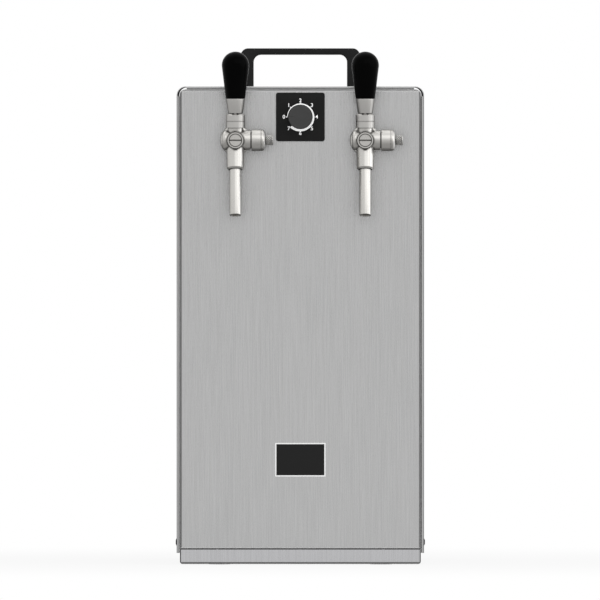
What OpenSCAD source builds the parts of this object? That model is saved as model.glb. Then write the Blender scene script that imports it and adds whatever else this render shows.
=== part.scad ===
// Portable twin-tap drink dispenser: a dry cooler in a folded stainless cabinet.
// Millimetres. +Z up, the taps face -Y, the origin lies on the bench at the middle of the footprint box.

/* [Cabinet] */
// Width of the cover
body_w = 250; // [240:1:280]
// Depth of the cover from front to back
body_d = 400; // [396:1:440]
// Height of the cover's top above the bench
body_h = 483.4; // [478:0.2:520]
// Sheet thickness of the cover
cover_sheet = 1; // [0.8:0.1:1.2]
// Thickness of the hem that doubles the cover's front and rear edges
hem_t = 2; // [1.8:0.1:2.4]
// Depth of that hem
hem_depth = 10; // [6:1:14]
// Outer radius of the cover's top corners
cover_corner_r = 9; // [7:0.5:12]
// Height of the cover's lower edge above the bench
cover_bottom = 11.7; // [8:0.1:14]
// Sheet thickness of the front and rear panels
panel_sheet = 1.2; // [1:0.1:1.5]
// How far the panels sit inside the ends of the cover
panel_recess = 1; // [0:0.25:3]
// Gap between a panel and the hem around it
panel_gap = 1.1; // [0.6:0.1:1.6]
// Outer bend radius of the panels' edges
panel_bend_r = 2.7; // [1.8:0.1:3.5]
// Radius of the panels' top corners
panel_corner_r = 5.5; // [4:0.5:7]
// Depth of the flanges folded back from the panels
flange_depth = 14; // [10:1:18]
// Number of cooling slots in each column of the rear panel
slot_rows = 15; // [8:1:18]
// Length of a cooling slot
slot_len = 82; // [40:1:90]
// Width of a cooling slot
slot_w = 5; // [3:0.5:7]
// Distance between cooling slots
slot_pitch = 11; // [9:0.5:12]

/* [Base tray] */
// Sheet thickness of the base tray
tray_sheet = 1.2; // [1:0.1:1.5]
// Gap between the cover's outer face and the tray's outer face
tray_inset = 3.3; // [3:0.1:4.5]
// Height of the tray's front and rear lips above the bench
lip_h = 15.2; // [14:0.1:18]
// Height of the tray's side walls above the bench
tray_wall_h = 40; // [34:1:60]
// Gap between the tray's lip and the panel above it
lip_gap = 0.6; // [0.3:0.1:0.9]
// How far the rubber feet stand below the tray
foot_proud = 0.5; // [0.3:0.1:3]
// Radius of a foot's sole
foot_r = 11; // [9:0.5:14]
// Distance of the feet from the tray's sides
foot_inset_x = 40; // [36:1:48]
// Distance of the feet from the tray's ends
foot_inset_y = 26; // [20:1:34]

/* [Fasteners] */
// Height of the cover screws above the bench
screw_z = 22.3; // [20:0.1:26]
// Distance of the cover screws from the ends of the cover
screw_inset = 34; // [28:1:60]
// Radius of a cover screw's head
screw_head_r = 4; // [3.4:0.1:4.6]
// Height of a cover screw's head
screw_head_h = 1.4; // [1:0.1:2]
// Radius of a cover screw's shank
screw_r = 1.95; // [1.4:0.05:2.4]
// Length of a cover screw below its head
screw_len = 12; // [8:1:14]
// Radius of the panel screws
panel_screw_r = 2; // [1.5:0.1:2.5]
// Sideways spacing of the panel screws
panel_screw_x = 84; // [60:1:90]

/* [Carry handle] */
// Overall width of the carry handle
handle_w = 121.2; // [110:0.2:140]
// Height of the handle above the cover
handle_h = 38.4; // [34:0.2:60]
// Depth of the handle's grip from front to back
handle_depth = 26; // [20:1:32]
// Width of a handle leg
handle_leg = 13.1; // [12:0.1:18]
// Thickness of the handle's bar
handle_bar = 6.2; // [5.5:0.1:10]
// Outer corner radius of the handle
handle_r_out = 7.2; // [5:0.1:11]
// Inner corner radius of the handle
handle_r_in = 7.6; // [5:0.1:12]
// Radius of the handle screws
handle_screw_r = 3; // [2.5:0.1:3.5]
// Depth of the handle's screw bores
handle_screw_depth = 18; // [12:1:24]

/* [Dial and name plate] */
// Side of the square dial plate
dial_size = 48.9; // [44:0.1:51]
// Thickness of the dial plate
dial_t = 3.5; // [3:0.25:5]
// Corner radius of the dial plate
dial_corner_r = 2.5; // [1:0.5:5]
// Distance of the dial's centre below the cover's top
dial_drop = 30.9; // [30.4:0.1:35]
// Radius of the thermostat knob
knob_r = 12.2; // [10:0.1:14]
// Length of the thermostat knob
knob_len = 13; // [10:1:18]
// Radius of the thermostat shaft
dial_shaft_r = 3; // [2:0.25:3.5]
// Width of the thermostat housing
thermostat_w = 40; // [30:1:46]
// Depth of the thermostat housing
thermostat_d = 31; // [24:1:36]
// Height of the thermostat housing
thermostat_h = 32; // [28:1:36]
// Width of the blank name plate
name_plate_w = 51; // [40:1:60]
// Height of the blank name plate
name_plate_h = 34; // [26:1:40]
// Thickness of the name plate
name_plate_t = 0.8; // [0.5:0.1:1.5]
// Height of the name plate's centre above the bench
name_plate_z = 106; // [80:1:140]

/* [Taps] */
// Sideways distance of each tap from the middle
tap_x = 65.5; // [60:0.5:72]
// Distance of the taps' centre below the cover's top
tap_drop = 54.4; // [51.4:0.1:57.4]
// Distance of the taps' centre in front of the front panel
tap_offset = 46; // [42:1:56]
// Radius of a tap's cross barrel
barrel_r = 9.9; // [9.6:0.1:10.6]
// Length of the barrel to the left of the tap's centre
barrel_left = 13.3; // [12:0.1:16]
// Length of the barrel to the right of the tap's centre
barrel_right = 15.1; // [14.5:0.1:17]
// Rounding of the barrel's closed left end
barrel_round = 3; // [1:0.2:3.4]
// Radius of the neck under the bonnet
neck_r = 7.9; // [7.4:0.1:8.6]
// Radius of the front boss at its rim
boss_r = 8.4; // [8:0.1:9]
// Distance of the boss's rim in front of the tap's centre
boss_len = 16; // [14:0.5:18]
// Radius of the slotted plug in the front boss
plug_r = 6.3; // [6.2:0.1:6.8]
// Length of the slotted plug
plug_len = 4; // [3:0.25:4.5]
// Width of the plug's screwdriver slot
plug_slot = 1.5; // [0.8:0.1:2]
// Bore of the valve chamber
valve_bore_r = 5.8; // [5.6:0.1:6]
// Length of the valve piston
piston_len = 18; // [16:0.5:19]
// Radius of a tap's rear collar
rear_r = 9.5; // [9.2:0.1:10]
// Forward lean of the outlet and the spout in degrees
spout_tilt = 15; // [8:1:18]
// Length of the outlet from the tap's centre
outlet_len = 30.6; // [28:0.2:34]
// Radius of the outlet at its lower end
outlet_r = 8.6; // [8.2:0.1:9.2]
// Length from the tap's centre to the end of the spout
spout_len = 78.3; // [65:0.1:95]
// Outer radius of the spout
spout_r = 5.9; // [5.7:0.1:6.4]
// Bore of the spout
spout_bore_r = 4.5; // [3.5:0.1:4.8]
// Depth of the spout's spigot inside the outlet
spigot_len = 10; // [7:0.5:11]
// Radius of the escutcheon against the front panel
escutcheon_r = 15.5; // [13:0.1:18]
// Thickness of the escutcheon
escutcheon_t = 4; // [3:0.5:6]
// Radius of the threaded shank
shank_r = 8; // [7.2:0.1:8.4]
// Length of the shank behind the front panel
shank_inside = 34; // [30:1:40]
// Depth of the shank inside the tap's rear collar
shank_seat = 12; // [8:0.5:13]
// Thickness of the shank nut
shank_nut_t = 8; // [6:0.5:10]

/* [Flow control] */
// Radius of the flow control's cap
cap_r = 10.8; // [10:0.1:12]
// Length of the cap from its shoulder to its end
cap_len = 14; // [12:0.5:18]
// Rounding of the cap's outer end
cap_round = 4.2; // [2:0.2:5]
// Radius of the knurled adjusting screw
adjuster_r = 5; // [4:0.1:6]
// Length of the knurled adjusting screw
adjuster_len = 7.4; // [6:0.1:10]
// Radius of the adjusting screw's spindle
spindle_r = 2.5; // [2:0.1:2.8]
// Thread pitch that moves the flow cone
flow_pitch = 2; // [1:0.25:2]

/* [Lever] */
// Height of the lever's pivot above the tap's centre
pivot_h = 15; // [14.6:0.1:15.6]
// Radius of the bonnet's domed top about the pivot
dome_r = 14; // [13.6:0.1:14.6]
// Radius of the bonnet
bonnet_r = 9.6; // [9.4:0.05:9.9]
// Height of the bonnet's foot above the tap's centre
bonnet_foot = 12.7; // [12:0.1:13]
// Height of the bonnet's groove above the tap's centre
groove_h = 18.6; // [17:0.1:20]
// Width of that groove
groove_w = 0.9; // [0.4:0.1:1.4]
// Forward swing of the lever in degrees
lever_swing = 25; // [12:1:25]
// Radius of the lever's ball
ball_r = 5; // [4.6:0.1:5.2]
// Radius of the lever's stem
stem_r = 3; // [2.5:0.1:3]
// Radius of the ferrule at its foot
ferrule_r_low = 7.3; // [6.8:0.1:7.8]
// Radius of the ferrule at its top
ferrule_r_top = 9.5; // [8.5:0.1:9.7]
// Height of the ferrule's top above the tap's centre
ferrule_top = 41.9; // [38:0.1:46]
// Radius of the grip at its foot
grip_r_low = 9.8; // [9.2:0.1:10.5]
// Radius of the grip's bulb
grip_r = 13.8; // [12:0.1:15]
// Height of the grip's top above the tap's centre
grip_top = 89.5; // [84:0.5:100]
// Depth of the stem inside the grip
stem_in_grip = 26; // [18:1:34]

/* [Cooling] */
// Width of the aluminium cooling block
block_w = 160; // [154:1:164]
// Depth of the cooling block
block_d = 140; // [120:1:146]
// Distance of the cooling block's top below the taps' centre
outlet_drop = 55; // [50:1:70]
// Wall of the insulation round the cooling block
foam_t = 24; // [18:1:25]
// Height of the shelf that carries the insulation
shelf_z = 215; // [212:1:218]
// Sheet thickness of the shelf
shelf_sheet = 1.5; // [1:0.1:2]
// Distance of the insulation behind the front panel
foam_setback = 20; // [18:1:24]
// Radius of the compressor's shell
compressor_r = 74; // [66:1:75]
// Height of the compressor's shell
compressor_h = 160; // [140:1:164]
// Distance of the compressor's centre from the rear panel
compressor_back = 130; // [125:1:135]
// Height of the compressor's rubber mounts
mount_h = 12; // [9:1:14]
// Outer radius of the beverage lines
beer_r = 4.75; // [4:0.25:4.75]
// Outer radius of the copper suction line
suction_r = 5; // [4:0.25:6]
// Outer radius of the condenser's copper tube
copper_r = 4; // [3:0.25:4.5]
// Outer radius of the capillary tube
capillary_r = 1.5; // [1:0.1:2]
// Number of rows in the condenser's tube, odd
tube_rows = 7; // [5:2:7]
// Distance of the condenser's top below the cover's top
condenser_headroom = 41.4; // [36:0.1:60]
// Distance of the outer tube rows from the condenser's ends
row_margin = 20; // [16:1:24]
// Number of condenser fins
fin_count = 18; // [10:1:24]
// Thickness of a condenser fin
fin_t = 0.8; // [0.5:0.1:1]
// Depth of the condenser
condenser_d = 35; // [28:1:36]
// Room for the tube bends between the condenser's sides and the cover
condenser_clear = 30; // [29:1:34]
// Distance of the blades' tips from the condenser's sides
fan_clear = 17; // [14:1:30]
// Number of fan blades
fan_blades_n = 5; // [3:1:7]
// Radius of the fan's hub
fan_hub_r = 20; // [14:1:24]
// Radius of the fan motor
motor_r = 26; // [20:1:30]
// Length of the fan motor
motor_len = 44; // [34:1:50]

/* [Rear connections] */
// Bore of the push-in beverage inlets
inlet_bore_r = 4.85; // [4.3:0.05:5]
// Depth of the inlets' bore
inlet_depth = 16; // [12:0.5:18]
// Outer radius of an inlet fitting
inlet_r = 9; // [8:0.5:11]
// How far the inlet fittings stand behind the rear panel
inlet_reach = 22; // [20:1:30]
// Sideways distance of the inlets from the middle
inlet_x = 60; // [54:1:64]
// Height of the inlets above the bench
inlet_z = 198; // [197:0.5:199]
// Bore of the power cable's gland
gland_bore_r = 4.2; // [3:0.1:5]
// Sideways place of the gland
gland_x = 70; // [60:1:80]
// Height of the gland above the bench
gland_z = 62; // [56:1:70]

/* [Hidden] */
$fn = 64;
run_gap = 0.05;      // radial clearance of a turning or sliding fit
seat_gap = 0.3;      // clearance between pieces that only lie beside each other
hole_gap = 0.25;     // radial clearance of a bolt or pipe in its hole
cut = 1;             // overshoot of a cut past the surface it opens
leg_gap = 4.5;       // clearance between the shelf's legs and the rivet nuts

// Places worked out from other sizes keep to a tenth of a millimetre
function tenth(v) = round(10 * v) / 10;

tap_reach = tenth(tap_offset + spout_len * sin(spout_tilt) + spout_r * cos(spout_tilt));
panel_span = body_d - 2 * panel_recess;
front_y = -(tap_reach + panel_span + inlet_reach) / 2 + tap_reach;
rear_y = front_y + panel_span;
middle_y = (front_y + rear_y) / 2;
cover_y0 = front_y - panel_recess;
cover_y1 = rear_y + panel_recess;

cover_x = body_w / 2;
dial_z = tenth(body_h - dial_drop);
tap_z = tenth(body_h - tap_drop);
panel_x = cover_x - hem_t - panel_gap;
panel_top = body_h - hem_t - panel_gap;
panel_bottom = lip_h + lip_gap;
tray_x = cover_x - tray_inset;
tray_z = foot_proud;
floor_z = tray_z + tray_sheet;
tray_bend_r = panel_bend_r;

screw_ys = [cover_y0 + screw_inset, cover_y1 - screw_inset];
rivet_barrel_r = screw_r + 1.2;
rivet_flange_r = screw_r + 3;
rivet_len = screw_len - 1.5;

panel_screw_tail = 8;
panel_screw_head_t = 2.5;
panel_screw_head_r = panel_screw_r + 1.8;

handle_post_x = handle_w / 2 - handle_leg / 2;
handle_screw_head_t = 4;

knob_gap = 0.4;
knob_back = front_y - dial_t - knob_gap;
dial_bush_r = dial_shaft_r + 2.2;
dial_nut_t = 2;

tap_y = front_y - tap_offset;
rear_len = tap_offset - escutcheon_t;
shank_start = rear_len - shank_seat;
shank_end = tap_offset + shank_inside;
outlet_r_top = outlet_r + 0.6;
outlet_chamfer = 1.5;
spigot_r = spout_r - 0.4;
finger_r = 1.6;
finger_ball_r = 2.5;
finger_hole_r = finger_ball_r + 0.4;
piston_r = valve_bore_r - run_gap;
piston_front = 8;
piston_travel = pivot_h * sin(lever_swing);
slot_half = stem_r + hole_gap;
cone_bore_r = valve_bore_r;
cone_len = 4.5;
cone_start = valve_bore_r + 2;
cap_start = barrel_right + 1.1;
cap_end = cap_start + cap_len;
cap_neck_r = barrel_r - 1.8;
adjuster_gap = 0.3;
adjuster_end = cap_end + adjuster_gap + adjuster_len;
stem_top = ferrule_top + stem_in_grip;
ferrule_gap = 0.3;
grip_centre = grip_top - grip_r;

foam_x = block_w / 2 + foam_t;
foam_y0 = front_y + foam_setback;
foam_y1 = foam_y0 + block_d + 2 * foam_t;
block_y0 = foam_y0 + foam_t;
block_y1 = block_y0 + block_d;
block_z0 = shelf_z + foam_t;
block_z1 = tap_z - outlet_drop;
lid_z = block_z1 + seat_gap;
lid_top = lid_z + foam_t;
shelf_leg_x = cover_x - rivet_len - leg_gap;
compressor_y = rear_y - compressor_back;
compressor_z0 = floor_z + mount_h + 8;
compressor_z1 = compressor_z0 + compressor_h;
compressor_round = 26;
plate_t = 3;
terminal_d = 18;
terminal_w = 52;
terminal_h = 68;
plate_z = floor_z + mount_h;
foot_bolt_x = compressor_r + 10;
foot_margin = 10;
foot_bolt_y = compressor_r - 22;
mount_r = 9;
bolt_r = 3;
suction_x = 0;
suction_y = block_y1 - 40;
suction_z = compressor_z0 + 100;
suction_stub_y = compressor_y - compressor_r - 14;
discharge_z = compressor_z0 + 90;
discharge_stub_x = compressor_r + 10;
condenser_x = tenth(cover_x - condenser_clear);
condenser_y1 = rear_y - 25;
condenser_y0 = condenser_y1 - condenser_d;
condenser_y = (condenser_y0 + condenser_y1) / 2;
condenser_z0 = shelf_z + 7;
tube_pitch = tenth((body_h - condenser_headroom - condenser_z0 - 2 * row_margin) / (tube_rows - 1));
condenser_z1 = condenser_z0 + (tube_rows - 1) * tube_pitch + 2 * row_margin;
row_z0 = condenser_z0 + row_margin;
row_z1 = row_z0 + (tube_rows - 1) * tube_pitch;
end_plate_t = 1.5;
tube_end_x = condenser_x + end_plate_t + 1;
pipe_out_x = tube_end_x + tube_pitch / 2;
pipe_bend = 12;
capillary_bend = 8;
fan_z = (condenser_z0 + condenser_z1) / 2;
fan_r = condenser_x - fan_clear;
ring_r = fan_r + 5;
ring_t = 3;
shroud_t = 4;
shroud_y0 = condenser_y0 - shroud_t;
ring_y0 = condenser_y0 - 24;
spider_t = 4;
spider_w = 14;
motor_y1 = ring_y0 - spider_t;
fan_y0 = ring_y0 + 3;
fan_y1 = condenser_y0 - 6;
fan_shaft_r = 3;
drier_r = 8;
drier_drop = 60;
drier_len = 70;
drier_z1 = row_z0 - drier_drop;
drier_z0 = drier_z1 - drier_len;
capillary_drop = 24;
capillary_z = drier_z0 - capillary_drop;
capillary_x = -20;
capillary_y = block_y0 + 30;
inlet_up_y = block_y0 + block_d / 2;
outlet_down_y = tap_y + shank_end + 24;
sensor_y = foam_y0 + foam_t + 12;
sensor_x = 12;
sensor_bulb_r = 3;
sensor_tube_r = 1.2;
fitting_sleeve_r = 7;
fitting_inside = 19;
gland_r = 9;
gland_sleeve_r = gland_bore_r + 3;
gland_reach = 14;
gland_inside = 7;

// Helpers: rods and boxes between two stations, prisms along each axis, and bent pipes.

module rod_x(x0, x1, r) {
  translate([x0, 0, 0]) rotate([0, 90, 0]) cylinder(h = x1 - x0, r = r);
}

module rod_y(y0, y1, r) {
  translate([0, y0, 0]) rotate([-90, 0, 0]) cylinder(h = y1 - y0, r = r);
}

module rod_z(z0, z1, r) {
  translate([0, 0, z0]) cylinder(h = z1 - z0, r = r);
}

module box(low, high) {
  translate(low) cube(high - low);
}

// An (x, z) outline carried along Y
module prism_y(y0, y1) {
  translate([0, y1, 0]) rotate([90, 0, 0]) linear_extrude(y1 - y0) children();
}

// A (y, z) outline carried along X
module prism_x(x0, x1) {
  translate([x0, 0, 0]) rotate([90, 0, 90]) linear_extrude(x1 - x0) children();
}

// An (x, y) outline carried along Z
module prism_z(z0, z1) {
  translate([0, 0, z0]) linear_extrude(z1 - z0) children();
}

// A rectangle with rounded corners, radii in the order low-left, low-right, high-right, high-left
module round_rect(low, high, radii) {
  corners = [low, [high.x, low.y], high, [low.x, high.y]];
  turns = [0, 90, 180, 270];
  difference() {
    translate(low) square(high - low);
    for (i = [0:3])
      if (radii[i] > 0)
        translate(corners[i]) rotate(turns[i]) difference() {
          translate([-cut, -cut]) square(radii[i] + cut);
          translate([radii[i], radii[i]]) circle(radii[i]);
        }
  }
}

// A slot with round ends, lying along x
module round_slot(length, width) {
  square([length - width, width], center = true);
  for (s = [-1, 1]) translate([s * (length - width) / 2, 0]) circle(width / 2);
}

function across(d) = abs(d.z) > 0.5 ? [1, 0, 0] : [0, 0, 1];
function facing(a, b, c, p) =
  [[a.x, b.x, c.x, p.x], [a.y, b.y, c.y, p.y], [a.z, b.z, c.z, p.z], [0, 0, 0, 1]];
function leg_dir(points, i) = [for (a = points[i + 1] - points[i]) abs(a) < 0.01 ? 0 : sign(a)];

// A round pipe along straight legs that turn square corners with one bend radius
module pipe(points, r, bend) {
  last = len(points) - 2;
  for (i = [0:last]) {
    d = leg_dir(points, i);
    start = points[i] + (i > 0 ? bend : 0) * d;
    stop = points[i + 1] - (i < last ? bend : 0) * d;
    if (norm(stop - start) > 0.01)
      multmatrix(facing(across(d), cross(d, across(d)), d, start)) cylinder(h = norm(stop - start), r = r);
  }
  for (i = [1:1:last]) {
    u = leg_dir(points, i - 1);
    v = leg_dir(points, i);
    multmatrix(facing(-v, u, cross(u, v), points[i] - bend * u + bend * v))
      rotate_extrude(angle = 90) translate([bend, 0]) circle(r);
  }
}

module at_tap(side) {
  translate([side * tap_x, tap_y, tap_z]) children();
}

// The leaning axis of a tap's outlet: +Z of the children runs down the spout
module down_spout() {
  rotate([180 - spout_tilt, 0, 0]) children();
}

// Casing

// One folded panel: its outer face at y = 0, its flanges folded back towards +Y
module panel_skin(inset) {
  r = panel_bend_r - inset;
  x = panel_x - inset;
  z0 = panel_bottom + inset;
  z1 = panel_top - inset;
  depth = flange_depth + (inset > 0 ? cut : 0);
  corner = panel_corner_r - inset;
  intersection() {
    prism_y(inset, depth) round_rect([-x, z0], [x, z1], [0, 0, corner, corner]);
    prism_z(z0, z1) round_rect([-x, inset], [x, depth + r], [r, r, 0, 0]);
    prism_x(-x, x) round_rect([inset, z0], [depth + r, z1], [r, 0, 0, r]);
  }
}

module panel_shell() {
  difference() {
    panel_skin(0);
    panel_skin(panel_sheet);
    for (s = [-1, 0, 1])
      translate([s * panel_screw_x, flange_depth / 2, 0])
        rod_z(panel_bottom - cut, panel_bottom + panel_sheet + cut, panel_screw_r + hole_gap);
  }
}

module front_panel() {
  color("silver") difference() {
    translate([0, front_y, 0]) panel_shell();
    for (s = [-1, 1])
      at_tap(s) rod_y(tap_offset - cut, tap_offset + panel_sheet + cut, shank_r + hole_gap);
    translate([0, front_y, dial_z]) rod_y(-cut, panel_sheet + cut, dial_bush_r + hole_gap);
  }
}

module rear_panel() {
  slot_z0 = fan_z - (slot_rows - 1) * slot_pitch / 2;
  color("silver") difference() {
    translate([0, rear_y, 0]) mirror([0, 1, 0]) panel_shell();
    for (s = [-1, 1], i = [0:slot_rows - 1])
      translate([s * (slot_len / 2 + 8), 0, slot_z0 + i * slot_pitch])
        prism_y(rear_y - panel_sheet - cut, rear_y + cut) round_slot(slot_len, slot_w);
    for (s = [-1, 1])
      translate([s * inlet_x, rear_y, inlet_z])
        rod_y(-panel_sheet - cut, cut, fitting_sleeve_r + run_gap);
    translate([gland_x, rear_y, gland_z]) rod_y(-panel_sheet - cut, cut, gland_sleeve_r + run_gap);
  }
}

module cover_outline(inset, bottom) {
  r = cover_corner_r - inset;
  round_rect([-cover_x + inset, bottom], [cover_x - inset, body_h - inset], [0, 0, r, r]);
}

// Hems along the straight edges, stopped short of the bent corners and sunk half a sheet into the cover
module cover_hems(y0) {
  stop = cover_corner_r + 1;
  sunk = cover_sheet / 2;
  for (s = [0, 180])
    translate([0, y0 + hem_depth / 2, 0]) rotate([0, 0, s])
      box([cover_x - hem_t, -hem_depth / 2, cover_bottom], [cover_x - sunk, hem_depth / 2, body_h - stop]);
  box([-cover_x + stop, y0, body_h - hem_t], [cover_x - stop, y0 + hem_depth, body_h - sunk]);
}

module cover() {
  color("gainsboro") difference() {
    union() {
      prism_y(cover_y0, cover_y1) difference() {
        cover_outline(0, cover_bottom);
        cover_outline(cover_sheet, cover_bottom - cut);
      }
      cover_hems(cover_y0);
      cover_hems(cover_y1 - hem_depth);
    }
    for (y = screw_ys) translate([0, y, screw_z]) rod_x(-cover_x - cut, cover_x + cut, screw_r + hole_gap);
    for (s = [-1, 1])
      translate([s * handle_post_x, middle_y, 0])
        rod_z(body_h - cover_sheet - cut, body_h + cut, handle_screw_r + hole_gap);
  }
}

// The tray's solid form, drawn in by inset for its hollow
module tray_skin(inset) {
  r = tray_bend_r - inset;
  x = tray_x - inset;
  z0 = tray_z + inset;
  z1 = tray_wall_h + (inset > 0 ? cut : 0);
  y0 = front_y + inset;
  y1 = rear_y - inset;
  intersection() {
    prism_y(y0, y1) round_rect([-x, z0], [x, z1], [r, r, 0, 0]);
    prism_x(-x, x) round_rect([y0, z0], [y1, z1], [r, r, 0, 0]);
  }
}

module at_feet() {
  for (sx = [-1, 1], sy = [-1, 1])
    translate([sx * (tray_x - foot_inset_x), middle_y + sy * (panel_span / 2 - foot_inset_y), 0]) children();
}

module at_compressor_bolts() {
  for (sx = [-1, 1], sy = [-1, 1])
    translate([sx * foot_bolt_x, compressor_y + sy * foot_bolt_y, 0]) children();
}

module base_tray() {
  clear = flange_depth + 2;
  lip_d = flange_depth - 2;
  color("silver") difference() {
    union() {
      difference() {
        tray_skin(0);
        tray_skin(tray_sheet);
        for (y = [front_y - cut, rear_y - clear])
          box([-cover_x, y, lip_h], [cover_x, y + clear + cut, tray_wall_h + cut]);
      }
      for (y = [front_y, rear_y - lip_d])
        box([-tray_x + tray_sheet, y, lip_h - tray_sheet], [tray_x - tray_sheet, y + lip_d, lip_h]);
    }
    at_feet() rod_z(tray_z - cut, floor_z + cut, foot_r - 3);
    at_compressor_bolts() rod_z(tray_z - cut, floor_z + cut, bolt_r + hole_gap);
    for (y = screw_ys) translate([0, y, screw_z]) rod_x(-cover_x, cover_x, rivet_barrel_r + run_gap);
    for (s = [-1, 0, 1], y = [front_y + flange_depth / 2, rear_y - flange_depth / 2])
      translate([s * panel_screw_x, y, 0])
        rod_z(lip_h - tray_sheet - cut, lip_h + cut, panel_screw_r + hole_gap);
  }
}

module rubber_feet() {
  color("dimgray") at_feet() {
    rod_z(0, tray_z, foot_r);
    rod_z(0, floor_z + 2, foot_r - 3 - run_gap);
    rod_z(floor_z, floor_z + 2, foot_r - 1);
  }
}

module cover_rivet_nuts() {
  color("darkgray") for (s = [0, 180], y = screw_ys)
    translate([0, y, screw_z]) rotate([0, 0, s]) difference() {
      union() {
        rod_x(tray_x, cover_x - cover_sheet, rivet_flange_r);
        rod_x(cover_x - rivet_len, tray_x, rivet_barrel_r);
      }
      rod_x(cover_x - rivet_len - cut, cover_x, screw_r + run_gap);
    }
}

module cover_screws() {
  cap = (screw_head_r * screw_head_r + screw_head_h * screw_head_h) / (2 * screw_head_h);
  color("black") for (s = [0, 180], y = screw_ys)
    translate([0, y, screw_z]) rotate([0, 0, s]) {
      intersection() {
        translate([cover_x + screw_head_h - cap, 0, 0]) sphere(cap);
        rod_x(cover_x, cover_x + 2 * screw_head_h, screw_head_r + cut);
      }
      rod_x(cover_x - screw_len, cover_x, screw_r);
    }
}

module panel_screws() {
  color("darkgray") for (s = [-1, 0, 1], y = [front_y + flange_depth / 2, rear_y - flange_depth / 2])
    translate([s * panel_screw_x, y, 0]) {
      rod_z(lip_h - panel_screw_tail, panel_bottom + panel_sheet, panel_screw_r);
      rod_z(panel_bottom + panel_sheet, panel_bottom + panel_sheet + panel_screw_head_t, panel_screw_head_r);
    }
}

module carry_handle() {
  w = handle_w / 2;
  inner = w - handle_leg;
  bar_z = body_h + handle_h - handle_bar;
  color("#262626") translate([0, middle_y, 0]) difference() {
    prism_y(-handle_depth / 2, handle_depth / 2) difference() {
      round_rect([-w, body_h], [w, body_h + handle_h], [0, 0, handle_r_out, handle_r_out]);
      round_rect([-inner, body_h - cut], [inner, bar_z], [0, 0, handle_r_in, handle_r_in]);
    }
    for (s = [-1, 1])
      translate([s * handle_post_x, 0, 0])
        rod_z(body_h - cut, body_h + handle_screw_depth, handle_screw_r + run_gap);
  }
}

module handle_screws() {
  color("darkgray") for (s = [-1, 1]) translate([s * handle_post_x, middle_y, 0]) {
    rod_z(body_h - cover_sheet - handle_screw_head_t, body_h - cover_sheet, handle_screw_r + 2.5);
    rod_z(body_h - cover_sheet, body_h + handle_screw_depth - 2, handle_screw_r);
  }
}

module name_plate() {
  color("#202020") translate([0, 0, name_plate_z]) prism_y(front_y - name_plate_t, front_y)
    square([name_plate_w, name_plate_h], center = true);
}

// Thermostat

module dial_plate() {
  h = dial_size / 2;
  color("#222222") translate([0, 0, dial_z]) difference() {
    prism_y(front_y - dial_t, front_y) round_rect([-h, -h], [h, h], [for (i = [0:3]) dial_corner_r]);
    translate([0, front_y, 0]) {
      rod_y(-dial_t - cut, cut, dial_shaft_r + 1);
      rod_y(-dial_nut_t - seat_gap, cut, dial_bush_r + 5);
    }
  }
}

module thermostat_body() {
  color("lightgray") translate([0, front_y, dial_z]) difference() {
    union() {
      box([-thermostat_w / 2, panel_sheet, -thermostat_h / 2],
          [thermostat_w / 2, panel_sheet + thermostat_d, thermostat_h / 2]);
      rod_y(-dial_nut_t, panel_sheet, dial_bush_r);
    }
    rod_y(-dial_nut_t - cut, panel_sheet + thermostat_d - 8, dial_shaft_r + run_gap);
  }
}

module thermostat_nut() {
  color("darkgray") translate([0, front_y, dial_z]) difference() {
    translate([0, -dial_nut_t, 0]) rotate([-90, 0, 0]) cylinder(h = dial_nut_t, r = dial_bush_r + 4, $fn = 6);
    rod_y(-dial_nut_t - cut, cut, dial_bush_r + run_gap);
  }
}

module thermostat_shaft() {
  color("gray") translate([0, 0, dial_z])
    rod_y(knob_back - knob_len + 4, front_y + panel_sheet + thermostat_d - 9, dial_shaft_r);
}

module thermostat_knob() {
  edge = 1;
  color("#404040") translate([0, knob_back, dial_z]) difference() {
    union() {
      rod_y(-knob_len + edge, 0, knob_r);
      translate([0, -knob_len, 0]) rotate([-90, 0, 0]) cylinder(h = edge, r1 = knob_r - edge, r2 = knob_r);
    }
    rod_y(-knob_len + 4 - seat_gap, cut, dial_shaft_r + run_gap);
    box([-knob_r, -knob_len - cut, -0.5], [-knob_r + 6, -knob_len + 0.6, 0.5]);
  }
}

module sensor_capillary() {
  start = [sensor_x, front_y + panel_sheet + thermostat_d / 2, dial_z - thermostat_h / 2];
  turn_z = (start.z + lid_top) / 2;
  color("peru") {
    pipe([start, [start.x, start.y, turn_z], [start.x, sensor_y, turn_z], [start.x, sensor_y, block_z1 + 3]],
         sensor_tube_r, 4);
    translate([sensor_x, sensor_y, 0]) rod_z(block_z1 - 40, block_z1 + 3, sensor_bulb_r);
  }
}

// Taps

module tap_body(side) {
  chamfer_start = outlet_len - outlet_chamfer;
  color("silver") at_tap(side) difference() {
    union() {
      translate([-barrel_left, 0, 0]) rotate([0, 90, 0]) rotate_extrude()
        round_rect([0, 0], [barrel_r, barrel_left + barrel_right], [0, barrel_round, 0, 0]);
      rotate([90, 0, 0]) cylinder(h = boss_len, r1 = barrel_r, r2 = boss_r);
      rod_y(0, rear_len, rear_r);
      rod_z(0, bonnet_foot, neck_r);
      down_spout() {
        cylinder(h = chamfer_start, r1 = outlet_r_top, r2 = outlet_r);
        translate([0, 0, chamfer_start]) cylinder(h = outlet_chamfer, r1 = outlet_r, r2 = outlet_r - outlet_chamfer);
      }
    }
    rod_y(-boss_len - cut, shank_start, valve_bore_r);
    rod_y(-boss_len - cut, -boss_len + plug_len, plug_r + run_gap);
    rod_y(shank_start, rear_len + cut, shank_r + run_gap);
    down_spout() {
      cylinder(h = outlet_len + cut, r = spout_bore_r);
      rod_z(outlet_len - spigot_len, outlet_len + cut, spigot_r + run_gap);
    }
    rod_x(0, barrel_right + cut, cone_bore_r);
    rod_z(pivot_h - ball_r - 0.5, bonnet_foot + cut, ball_r + run_gap);
    finger_slot();
  }
}

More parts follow.
